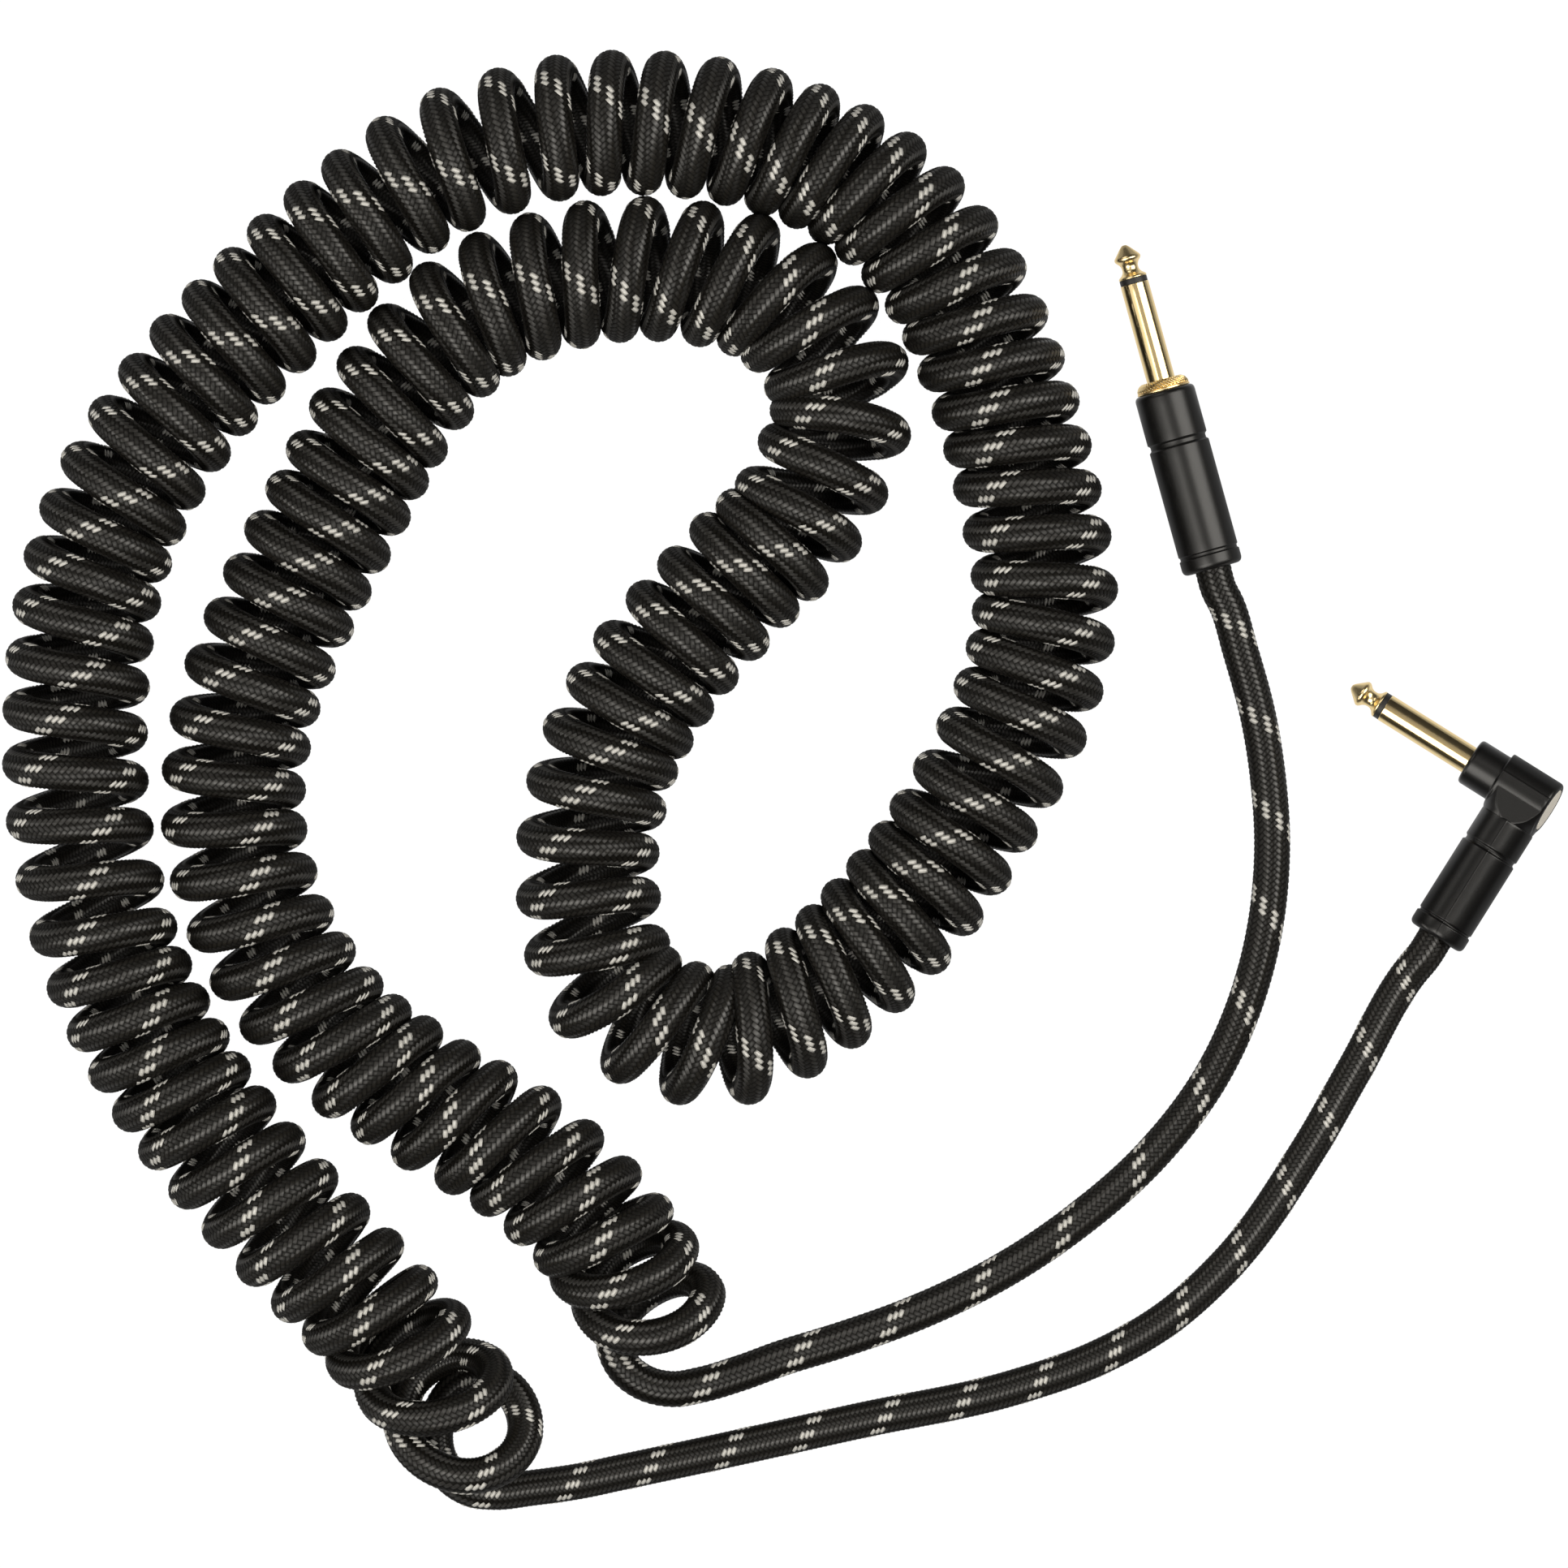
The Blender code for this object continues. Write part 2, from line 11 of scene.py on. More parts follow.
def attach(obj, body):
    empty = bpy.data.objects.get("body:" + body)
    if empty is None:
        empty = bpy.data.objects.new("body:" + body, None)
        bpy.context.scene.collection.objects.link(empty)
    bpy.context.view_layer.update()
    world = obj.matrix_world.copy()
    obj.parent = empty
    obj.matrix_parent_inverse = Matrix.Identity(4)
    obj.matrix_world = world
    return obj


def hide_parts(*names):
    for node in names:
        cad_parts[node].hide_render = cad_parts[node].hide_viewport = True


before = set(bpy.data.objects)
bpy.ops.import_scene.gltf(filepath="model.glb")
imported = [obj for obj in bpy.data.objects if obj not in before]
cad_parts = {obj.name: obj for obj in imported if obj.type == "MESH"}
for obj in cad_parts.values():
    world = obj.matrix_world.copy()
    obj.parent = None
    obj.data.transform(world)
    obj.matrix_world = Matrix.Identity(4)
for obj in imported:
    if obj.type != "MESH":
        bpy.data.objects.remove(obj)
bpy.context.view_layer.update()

MM = 0.001
TAU = 2 * math.pi
UP = np.array((0.0, 0.0, 1.0))

# Camera and room. The camera looks straight down at VIEW_AT and sees VIEW_WIDTH at the plugs' height.
VIEW_AT = (-0.12295, -0.0412)
VIEW_WIDTH = 0.3475
VIEW_HEIGHT = 4.0
SENSOR = 36.0
FLOOR_SIDE = 9.0
# How much the floor lights the object: everywhere, and round the two fingers, which mirror it.
FLOOR_GLOW = 0.3
PIN_GLOW = 0.85
# Where the brighter patch starts and stops fading, along a finger and across it.
PIN_ALONG = (0.017, 0.026)
PIN_ACROSS = (0.008, 0.03)
LAMP_COLOUR = (1.0, 0.965, 0.90)
LAMP_DISTANCE = 1.8
# (name, azimuth, elevation, size, radiance)
LAMPS = (
    ("right", 15, 46, (1.1, 1.5), 5.0),
    ("front", 238, 61, (1.1, 1.3), 5.0),
    ("low_left", 193, 17, (1.2, 0.5), 5.0),
    ("back", 125, 36, (1.0, 0.8), 2.0),
    ("left", 196, 52, (0.9, 1.0), 1.0),
)
# The room is dark up to SKY_FROM (0.5 is the horizon, 1 straight up) and brightens from there.
SKY_FROM = 0.80
SKY_DARK = (0.035, 0.035, 0.035)
SKY_TOP = (0.45, 0.43, 0.40)

# Cord. CORD_LOW is the height of its middle where it lies flat.
CORD_R = 0.00405
CORD_LOW = 0.0041
LOOP_R = 0.01215
STRAND_DEPTH = 0.00022
CARRIERS = 16
ROUND = 2 * CARRIERS
STRAIGHT_LAY = 0.0216
ANGLE_LAY = 0.0177
# Points on the cord's middle inside and just behind each plug, measured down its barrel.
STRAIGHT_RUN = (0.048, 0.0435, 0.034, 0.0246)
ANGLE_RUN = (0.0226, 0.030, 0.0373, 0.042)

# The tracer: its strands, its stitches in a lay of one strand, and the lays it stops short of the ends.
TRACER_STRANDS = 3
STITCHES = CARRIERS // 2
TRACER_SHORT = 0.15
# One stitch: its width in strands, how much of that it loses at its tips, and where its tips, middle
# line, edges and hidden inner point lie against the jacket's top.
STITCH_WIDTH = 1.08
STITCH_TAPER = 0.14
STITCH_TIP = -0.00010
STITCH_RIDGE = 0.00006
STITCH_EDGE = -0.00005
STITCH_INSIDE = -0.0003

# Straight plug, in mm: shoulder, direction of the tip, stations behind the shoulder.
STRAIGHT_AT = (-39.42, 48.38)
STRAIGHT_DIR = (-0.2658, 0.9640)
PLUG_Z = 6.825
COLLAR_L = 2.4
BARREL_R = 6.78
LIP_R = 6.825
BARREL_END = 43.5
GROOVE_1 = (13.5, 15.3)
GROOVE_2 = (39.2, 40.3)
CAVITY_R = 5.4
CAVITY_END = 37.9
SHANK_R = 4.4
SHANK_END = 8.4
EXIT_R = 4.3
# The knurl: strokes round the collar, their lean in radians a mm, their width as a share of the
# spacing, and their depth.
KNURL_STROKES = 40
KNURL_LEAN = 8.0
KNURL_WIDTH = 0.24
KNURL_DEPTH = 0.42
THREAD_PITCH = 0.9
THREAD_DEPTH = 0.3

# Right-angle plug, in mm and degrees. BACK_SLANT is the lean of the head's back face, as a slope.
ANGLE_AT = (41.21, -43.61)
ANGLE_Z = 7.03
ANGLE_DIR = 147.87
ANGLE_ROLL = 5.0
BACK_SLANT = 0.09
ELBOW = 14.4
BOSS_R = 5.4
BOSS_L = 7.6
HEAD_R = 6.45
HEAD_BACK = -6.4
FLAT_Z = 6.3
VOXEL = 0.13
# Stretches of its barrel: (from, to, radius).
COLLAR_A = (6.6, 13.9, 6.5)
MAIN_A = (15.3, 33.0, 6.62)
LIP_A = (33.9, 37.3, 6.76)
CAVITY_A = (31.5, 5.2)
SEAM_HEIGHT = 0.05
SEAM_WIDTH = 0.11

# The plug finger, in mm from the shoulder to the tip.
FINGER = 30.9
RING_FRONT = 23.35
RING_BACK = 22.15
SLEEVE_FRONT = 22.1
SLEEVE_R = 3.175

# The coil's axis: (x, y, turns so far, yaw of that turn in degrees), outer end first.
COIL = (
    (-0.1904, -0.1878, -1.75, 26), (-0.1935, -0.1835, -1.25, 22), (-0.2005, -0.1734, -0.25, 13),
    (-0.2083, -0.1646, 0.75, 6), (-0.2155, -0.1562, 1.88, 1), (-0.2330, -0.1380, 4.26, 1),
    (-0.2493, -0.1188, 6.56, 0), (-0.2631, -0.0977, 9.18, -1), (-0.2732, -0.0747, 11.70, -1),
    (-0.2787, -0.0500, 13.79, -3), (-0.2796, -0.0249, 15.98, -2), (-0.2768, 0.0002, 18.37, -1),
    (-0.2686, 0.0238, 20.87, -1), (-0.2548, 0.0448, 23.21, -2), (-0.2378, 0.0635, 25.73, -3),
    (-0.2195, 0.0807, 28.22, -2), (-0.1990, 0.0955, 30.51, -4), (-0.1752, 0.1034, 32.58, -5),
    (-0.1500, 0.1048, 34.93, -4), (-0.1253, 0.1004, 37.33, 0), (-0.1028, 0.0892, 40.04, 1),
    (-0.0861, 0.0706, 42.58, 0), (-0.0758, 0.0477, 45.16, 1), (-0.0690, 0.0234, 47.83, 2),
    (-0.0652, -0.0015, 50.28, -1), (-0.0709, -0.0258, 52.82, -5), (-0.0825, -0.0481, 55.09, -7),
    (-0.0970, -0.0688, 57.69, 0), (-0.1151, -0.0861, 60.19, 9), (-0.1377, -0.0971, 62.58, 13),
    (-0.1595, -0.0881, 64.77, -1), (-0.1664, -0.0640, 66.96, -10), (-0.1632, -0.0392, 69.22, -10),
    (-0.1518, -0.0169, 71.77, -7), (-0.1354, 0.0023, 74.21, -9), (-0.1185, 0.0208, 76.94, -12),
    (-0.1101, 0.0442, 79.15, -7), (-0.1227, 0.0648, 81.42, 5), (-0.1465, 0.0723, 83.78, 5),
    (-0.1715, 0.0706, 86.10, -1), (-0.1945, 0.0604, 88.52, 1), (-0.2103, 0.0411, 90.87, 3),
    (-0.2225, 0.0191, 93.48, -2), (-0.2338, -0.0035, 96.05, -6), (-0.2426, -0.0270, 98.46, -7),
    (-0.2444, -0.0521, 100.83, -5), (-0.2369, -0.0760, 103.14, 2), (-0.2220, -0.0963, 105.52, 9),
    (-0.2017, -0.1110, 108.08, 10), (-0.1801, -0.1240, 110.47, 7), (-0.1631, -0.1404, 112.75, 4),
    (-0.1584, -0.1470, 113.75, 8), (-0.1525, -0.1549, 114.75, 13), (-0.1499, -0.1586, 115.25, 17),
)
# How far a turn leans back at the two ends, in degrees, and its radius: (turns, lean, radius).
LEAN = (
    (-1.75, 63, 0.0127), (-1.25, 60, 0.0127), (-0.25, 39, 0.0126), (0.75, 20, 0.0124),
    (1.75, 8, LOOP_R), (2.75, 2, LOOP_R), (3.75, 0, LOOP_R), (111.75, 0, LOOP_R),
    (112.75, -7, 0.0122), (113.75, -26, 0.0125), (114.75, -42, 0.0128), (115.25, -47, 0.0129),
)
COIL_FROM = -1.5
COIL_TO = 115.0
TURN_SAMPLES = 24
# The blur at each join of a lead and the coil, and how far it reaches each way.
JOIN_BLUR = 0.0045
JOIN_REACH = 0.020
# Braid lays in a turn along the coil: (turns, lays).
LAYS = ((0, 4.315), (18, 4.25), (30, 4.19), (44, 4.09), (56, 4.09), (68, 4.18), (80, 4.19),
        (92, 4.10), (104, 4.15), (114, 4.30))
# At this turn the tracer stands at this share of a lay, and each turn moves it round by COLUMN_TWIST.
LAY_MARK = (24.0439, 0.09375)
COLUMN_TWIST = -9.0

# Leads, each from its plug to the coil.
LEAD_ANGLE = (
    (0.0157, -0.0831, 0.0059), (0.0037, -0.1042, 0.0047), (-0.0066, -0.1222, CORD_LOW),
    (-0.0244, -0.1473, CORD_LOW), (-0.0379, -0.1596, CORD_LOW), (-0.0539, -0.1687, CORD_LOW),
    (-0.0719, -0.1750, CORD_LOW), (-0.1062, -0.1824, CORD_LOW), (-0.1422, -0.1903, CORD_LOW),
    (-0.1602, -0.1941, CORD_LOW), (-0.1672, -0.1956, CORD_LOW), (-0.1789, -0.1973, CORD_LOW),
    (-0.1872, -0.1982, CORD_LOW), (-0.1922, -0.1976, CORD_LOW), (-0.1967, -0.1949, CORD_LOW),
    (-0.1996, -0.1903, CORD_LOW), (-0.2003, -0.1855, CORD_LOW), (-0.1990, -0.1799, CORD_LOW),
    (-0.1954, -0.1746, 0.0045), (-0.1893, -0.1719, 0.0053), (-0.1837, -0.1742, 0.0077),
)
LEAD_STRAIGHT = (
    (-0.0249, -0.0014, 0.0066), (-0.0219, -0.0113, 0.0062), (-0.0179, -0.0259, 0.0052),
    (-0.0156, -0.0401, 0.0043), (-0.0147, -0.0545, CORD_LOW), (-0.0162, -0.0725, CORD_LOW),
    (-0.0197, -0.0869, CORD_LOW), (-0.0274, -0.1047, CORD_LOW), (-0.0420, -0.1241, CORD_LOW),
    (-0.0573, -0.1376, CORD_LOW), (-0.0735, -0.1486, CORD_LOW), (-0.0915, -0.1576, CORD_LOW),
    (-0.1113, -0.1648, CORD_LOW), (-0.1240, -0.1687, CORD_LOW), (-0.1325, -0.1718, CORD_LOW),
    (-0.1417, -0.1745, CORD_LOW), (-0.1474, -0.1754, CORD_LOW), (-0.1543, -0.1738, CORD_LOW),
    (-0.1582, -0.1708, CORD_LOW), (-0.1605, -0.1661, CORD_LOW), (-0.1604, -0.1612, CORD_LOW),
    (-0.1569, -0.1562, CORD_LOW), (-0.1514, -0.1522, 0.0046), (-0.1452, -0.1501, 0.0075),
)


# ---------------------------------------------------------------------------------------------
# Frames and curves
# ---------------------------------------------------------------------------------------------

def frame_from(x_axis, y_axis, z_axis, at):
    rows = zip(x_axis, y_axis, z_axis, at)
    return Matrix([*[list(row) for row in rows], [0, 0, 0, 1]])


def straight_frame():
    """Local +Z runs from the shoulder to the tip, and local +X points down."""
    z_axis = Vector((*STRAIGHT_DIR, 0)).normalized()
    x_axis = Vector((0, 0, -1))
    return frame_from(x_axis, z_axis.cross(x_axis), z_axis, Vector((*STRAIGHT_AT, PLUG_Z)) * MM)


def angle_frame():
    """Local +X runs to the tip, local +Y down the barrel to the cord."""
    turn = Matrix.Rotation(math.radians(ANGLE_DIR), 4, "Z")
    roll = Matrix.Rotation(math.radians(ANGLE_ROLL), 4, "Y")
    return Matrix.Translation(Vector((*ANGLE_AT, ANGLE_Z)) * MM) @ turn @ roll


ALONG_X = frame_from((0, 0, -1), (0, 1, 0), (1, 0, 0), (0, 0, 0))
ALONG_Y = frame_from((0, 0, -1), (-1, 0, 0), (0, 1, 0), (0, 0, 0))
STRAIGHT = straight_frame()
ANGLE = angle_frame()
ANGLE_FINGER = ANGLE @ Matrix.Translation((ELBOW * MM, 0, 0)) @ ALONG_X


def hermite(knots, values, at):
    """The smooth curve that has these values at the knots, read at the places at."""
    knots = np.asarray(knots, float)
    values = np.asarray(values, float)
    flat = values.ndim == 1
    if flat:
        values = values[:, None]
    slopes = np.gradient(values, knots, axis=0)
    i = np.clip(np.searchsorted(knots, at, "right") - 1, 0, len(knots) - 2)
    h = (knots[i + 1] - knots[i])[:, None]
    u = (at - knots[i])[:, None] / h
    out = (2 * u**3 - 3 * u**2 + 1) * values[i] + (u**3 - 2 * u**2 + u) * h * slopes[i]
    out += (3 * u**2 - 2 * u**3) * values[i + 1] + (u**3 - u**2) * h * slopes[i + 1]
    return out[:, 0] if flat else out


def unit(vectors):
    return vectors / np.linalg.norm(vectors, axis=-1, keepdims=True)


def run_of(points):
    return np.concatenate([[0], np.cumsum(np.linalg.norm(np.diff(points, axis=0), axis=1))])


# ---------------------------------------------------------------------------------------------
# Cord: route, braid frame, jacket and tracer
# ---------------------------------------------------------------------------------------------

def coil_rings(turns):
    """(centre of each turn, point on the cord) at each number of turns, as a left-handed helix."""
    turns = np.asarray(turns, float)
    table = np.array(COIL)
    lean = np.array(LEAN)
    centre = hermite(table[:, 2], table[:, :2], turns)
    ahead = hermite(table[:, 2], table[:, :2], np.minimum(turns + 0.2, table[-1, 2]))
    behind = hermite(table[:, 2], table[:, :2], np.maximum(turns - 0.2, table[0, 2]))
    along = np.pad(unit(ahead - behind), ((0, 0), (0, 1)))
    side = np.cross(UP, along)
    yaw = np.radians(np.interp(turns, table[:, 2], table[:, 3]))[:, None]
    back = np.radians(np.interp(turns, lean[:, 0], lean[:, 1]))[:, None]
    radius = np.interp(turns, lean[:, 0], lean[:, 2])[:, None]
    left = side * np.cos(yaw) + along * np.sin(yaw)
    front = along * np.cos(yaw) - side * np.sin(yaw)
    rise = UP * np.cos(back) - front * np.sin(back)
    angle = TAU * turns[:, None]
    middle = np.concatenate([centre, CORD_LOW + radius * np.cos(back)], axis=1)
    return middle, middle + radius * (np.cos(angle) * left - np.sin(angle) * rise)


def along_angle(run):
    return [tuple(ANGLE @ Vector((0, s, 0))) for s in run]


def along_straight(run):
    return [tuple(STRAIGHT @ Vector((0, 0, -s))) for s in run]


def braid_count(turns):
    """Lays of braid up to each turn of the coil, counted so that the tracer faces out as it should."""
    table = np.array(LAYS)
    fine = np.linspace(COIL_FROM, COIL_TO, 4000)
    rate = np.interp(fine, table[:, 0], table[:, 1])
    total = np.concatenate([[0], np.cumsum((rate[1:] + rate[:-1]) / 2 * np.diff(fine))])
    mark, phase = LAY_MARK
    total += phase - np.interp(mark, fine, total) % 1
    outward = -COLUMN_TWIST / 360 * (fine - mark)
    return np.interp(turns, fine, total - outward)


def eased(line, where, joins):
    """Rounds the line off close to each join of a lead and the coil, where two sets of points meet."""
    offsets = np.linspace(-2.5, 2.5, 41)
    weights = np.exp(-0.5 * offsets**2)
    smooth = np.zeros_like(line)
    for offset, weight in zip(offsets, weights / weights.sum()):
        at = where + offset * JOIN_BLUR
        smooth += weight * np.stack([np.interp(at, where, line[:, k]) for k in range(3)], axis=1)
    near = sum(np.clip(1.5 - np.abs(where - join) / JOIN_REACH, 0, 1) for join in joins)
    near = (near * near * (3 - 2 * near))[:, None]
    return line + near * (smooth - line)


class Route:
    """The cord's centreline with its braid frame, read at any number of lays."""

    def __init__(self):
        turns = np.arange(COIL_FROM, COIL_TO + 0.001, 1 / TURN_SAMPLES)
        lead_in = np.array([*along_angle(ANGLE_RUN), *LEAD_ANGLE])
        lead_out = np.array([*LEAD_STRAIGHT[::-1], *along_straight(STRAIGHT_RUN)])
        points = np.concatenate([lead_in, coil_rings(turns)[1], lead_out])
        knots = run_of(points)
        first, last = len(lead_in), len(lead_in) + len(turns) - 1
        lays = np.empty(len(points))
        lays[first : last + 1] = braid_count(turns)
        lays[:first] = lays[first] - (knots[first] - knots[:first]) / ANGLE_LAY
        lays[last + 1 :] = lays[last] + (knots[last + 1 :] - knots[last]) / STRAIGHT_LAY
        self.first_ring = math.ceil(lays[0] * ROUND)
        self.rings = np.arange(self.first_ring, math.floor(lays[-1] * ROUND) + 1)
        where = np.interp(self.rings / ROUND, lays, knots)
        joins = (knots[first - 1] + knots[first]) / 2, (knots[last] + knots[last + 1]) / 2
        self.line = eased(hermite(knots, points, where), where, joins)
        self.way = unit(np.gradient(self.line, axis=0))
        turn_at = np.interp(where, knots[first : last + 1], turns)
        outward = self.line - coil_rings(turn_at)[0]
        in_coil = (where >= knots[first]) & (where <= knots[last])
        self.across = self.braid_frame(outward, turn_at, in_coil)
        self.over = np.cross(self.way, self.across)

    def braid_frame(self, outward, turn_at, in_coil):
        """The way to carrier 0 at each ring: set by the turn in the coil, carried on along the leads."""
        square = outward - self.way * np.sum(outward * self.way, axis=1, keepdims=True)
        square = unit(square)
        other = np.cross(self.way, square)
        twist = np.radians(COLUMN_TWIST * (turn_at - LAY_MARK[0]))[:, None]
        across = square * np.cos(twist) + other * np.sin(twist)
        start, stop = np.flatnonzero(in_coil)[[0, -1]]
        for k in range(start - 1, -1, -1):
            across[k] = self.carried(across[k + 1], k)
        for k in range(stop + 1, len(across)):
            across[k] = self.carried(across[k - 1], k)
        return across

    def carried(self, vector, k):
        moved = vector - self.way[k] * np.dot(vector, self.way[k])
        return moved / np.linalg.norm(moved)

    def surface(self, turn, lays, radius):
        """Points on the jacket: turn is the share of a turn round the cord."""
        at = np.clip(np.asarray(lays) * ROUND - self.first_ring, 0, len(self.line) - 1.001)
        i = at.astype(int)
        share = (at - i)[..., None]
        centre = self.line[i] * (1 - share) + self.line[i + 1] * share
        across = self.across[i] * (1 - share) + self.across[i + 1] * share
        over = self.over[i] * (1 - share) + self.over[i + 1] * share
        angle = TAU * np.asarray(turn)[..., None]
        radius = np.broadcast_to(radius, np.shape(turn))[..., None]
        return centre + radius * (np.cos(angle) * across + np.sin(angle) * over)


def mesh_from(name, points, corners, sizes, uvs=None, layer="weave"):
    """A mesh straight from arrays: corners is the flat list of corner indices."""
    mesh = bpy.data.meshes.new(name)
    mesh.vertices.add(len(points))
    mesh.vertices.foreach_set("co", np.asarray(points, np.float32).ravel())
    mesh.loops.add(len(corners))
    mesh.loops.foreach_set("vertex_index", np.asarray(corners, np.int32))
    mesh.polygons.add(len(sizes))
    starts = np.concatenate([[0], np.cumsum(sizes)[:-1]])
    mesh.polygons.foreach_set("loop_start", starts.astype(np.int32))
    mesh.polygons.foreach_set("loop_total", np.asarray(sizes, np.int32))
    mesh.polygons.foreach_set("use_smooth", np.ones(len(sizes), bool))
    if uvs is not None:
        mesh.uv_layers.new(name=layer).data.foreach_set("uv", np.asarray(uvs, np.float32).ravel())
    mesh.update(calc_edges=True)
    mesh.validate()
    obj = bpy.data.objects.new(name, mesh)
    bpy.context.scene.collection.objects.link(obj)
    return obj


def jacket(route):
    """Herringbone braid: every crossing is a low point and every strand's middle is a high one.

    The grid has one point for each corner and each centre of a diamond of the braid. A square is
    split along its two centres where they belong to one stitch, and along its corners elsewhere."""
    ku = np.arange(ROUND)
    grid_u, grid_v = np.meshgrid(ku, route.rings)
    high = (grid_u + grid_v) % 2 == 1
    radius = np.where(high, CORD_R, CORD_R - STRAND_DEPTH)
    points = route.surface(grid_u / ROUND, grid_v / ROUND, radius).reshape(-1, 3)

    u0, v0 = grid_u[:-1], grid_v[:-1]
    even = (u0 + v0) % 2 == 0
    step = ((u0 + v0) // 2 + (u0 - v0) // 2 - even) % 4
    forward = np.where(even, step != 0, step == 2).ravel()[:, None]
    order = np.where(forward, (0, 1, 2, 0, 2, 3), (0, 1, 3, 1, 2, 3))

    rows = np.arange(len(v0))[:, None] * ROUND
    a, b = (rows + ku).ravel(), (rows + (ku + 1) % ROUND).ravel()
    tris = np.take_along_axis(np.stack([a, b, b + ROUND, a + ROUND], 1), order, 1)
    square = np.array([(0, 0), (1, 0), (1, 1), (0, 1)]) / ROUND
    uvs = np.stack([u0.ravel(), v0.ravel()], 1)[:, None] / ROUND + square
    uvs = np.take_along_axis(uvs, order[:, :, None], 1).reshape(-1, 2)

    corners = np.concatenate([tris.ravel(), ku[::-1], ku + len(v0) * ROUND])
    sizes = np.concatenate([np.full(2 * len(a), 3), (ROUND, ROUND)])
    uvs = np.concatenate([uvs, np.zeros((2 * ROUND, 2))])
    return mesh_from("cord", points, corners, sizes, uvs)


def tracer(route):
    """The white tracer: three neighbouring left-handed strands, raised where they lie on top."""
    first, last = route.rings[[0, -1]] / ROUND + (TRACER_SHORT, -TRACER_SHORT)
    p, q = np.meshgrid((0.0, 0.5, 1.0), (0.0, 0.18, 0.5, 0.82, 1.0))
    at_tip = (q == 0) | (q == 1)
    lift = np.where(at_tip, STITCH_TIP, np.where(p == 0.5, STITCH_RIDGE, STITCH_EDGE))
    p = 0.5 + (p - 0.5) * (STITCH_WIDTH - STITCH_TAPER * (2 * q - 1) ** 2)
    turn, lays = (p + 2 * q) / ROUND, (p - 2 * q) / ROUND
    stitch = -np.arange(math.ceil(first * STITCHES), math.floor(last * STITCHES))
    points = []
    for strand in range(TRACER_STRANDS):
        u0 = stitch / STITCHES
        v0 = strand / CARRIERS - stitch / STITCHES
        top = route.surface(u0[:, None, None] + turn, v0[:, None, None] + lays, CORD_R + lift)
        inside = route.surface(u0 + turn.mean(), v0 + lays.mean(), CORD_R + STITCH_INSIDE)
        points.append(np.concatenate([top.reshape(len(top), -1, 3), inside[:, None]], axis=1))
    points = np.concatenate(points)

    grid = np.arange(p.size).reshape(p.shape)
    faces = []
    for low, high in zip(grid[:-1], grid[1:]):
        for a, b, c, d in zip(low[:-1], low[1:], high[1:], high[:-1]):
            faces += [(a, c, b), (a, d, c)]
    rim = [*grid[0], *grid[1:, -1], *grid[-1, -2::-1], *grid[-2:0:-1, 0]]
    faces += [(rim[k - 1], rim[k], p.size) for k in range(len(rim))]
    faces = np.array(faces)
    corners = (faces + (np.arange(len(points)) * (p.size + 1))[:, None, None]).ravel()
    one = np.concatenate([np.stack([p.ravel(), q.ravel()], 1), [[0.5, 0.5]]])
    uvs = np.tile(one[faces.ravel()], (len(points), 1))
    return mesh_from("tracer", points.reshape(-1, 3), corners, np.full(len(corners) // 3, 3), uvs)


# ---------------------------------------------------------------------------------------------
# Turned and moulded shapes, in mm in their own frame
# ---------------------------------------------------------------------------------------------

def filleted(points, radii, steps=7):
    """The (r, z) points with an arc in place of each corner named in radii by its index."""
    out = []
    for i, p in enumerate(points):
        size = radii.get(i, 0)
        if not size:
            out.append(p)
            continue
        here = np.array(p, float)
        before = unit(np.array(points[i - 1], float) - here)
        after = unit(np.array(points[(i + 1) % len(points)], float) - here)
        start, end = here + before * size, here + after * size
        for t in np.linspace(0, 1, steps + 1):
            q = (1 - t) ** 2 * start + 2 * t * (1 - t) * here + t**2 * end
            out.append((float(q[0]), float(q[1])))
    return out


def subdivided(profile, longest, ring=False):
    """The profile with extra points wherever a straight stretch is longer than longest."""
    points = list(profile) + ([profile[0]] if ring else [])
    out = []
    for (r0, z0), (r1, z1) in zip(points[:-1], points[1:]):
        count = max(1, math.ceil(math.hypot(r1 - r0, z1 - z0) / longest))
        out += [(r0 + (r1 - r0) * k / count, z0 + (z1 - z0) * k / count) for k in range(count)]
    return out if ring else out + [points[-1]]


def turned(name, profile, place, steps=192, ring=False, relief=None, crease=32):
    """A turned piece. profile holds (r, z), outer side from +z to -z. relief(angle, r, z) adds to r."""
    profile = np.array(profile, float)
    angle = np.arange(steps) * TAU / steps
    r = np.repeat(profile[:, :1], steps, axis=1)
    z = np.repeat(profile[:, 1:], steps, axis=1)
    if relief:
        r = r + relief(angle[None, :] + 0 * r, r, z)
    points = np.stack([r * np.cos(angle), r * np.sin(angle), z], 2).reshape(-1, 3) * MM
    rows = len(profile) if ring else len(profile) - 1
    k, s = np.meshgrid(np.arange(rows), np.arange(steps), indexing="ij")
    after, beside = (k + 1) % len(profile), (s + 1) % steps
    quads = np.stack([k * steps + s, after * steps + s, after * steps + beside, k * steps + beside], 2)
    obj = mesh_from(name, points, quads.ravel(), np.full(rows * steps, 4))
    finished(obj, crease)
    obj.matrix_world = place
    return obj


def finished(obj, crease=32):
    """Welds the points that fell together on the axis, turns every face outward and creases edges."""
    bm = bmesh.new()
    bm.from_mesh(obj.data)
    bmesh.ops.remove_doubles(bm, verts=bm.verts, dist=0.000002)
    bmesh.ops.recalc_face_normals(bm, faces=bm.faces)
    bm.to_mesh(obj.data)
    bm.free()
    obj.data.set_sharp_from_angle(angle=math.radians(crease))


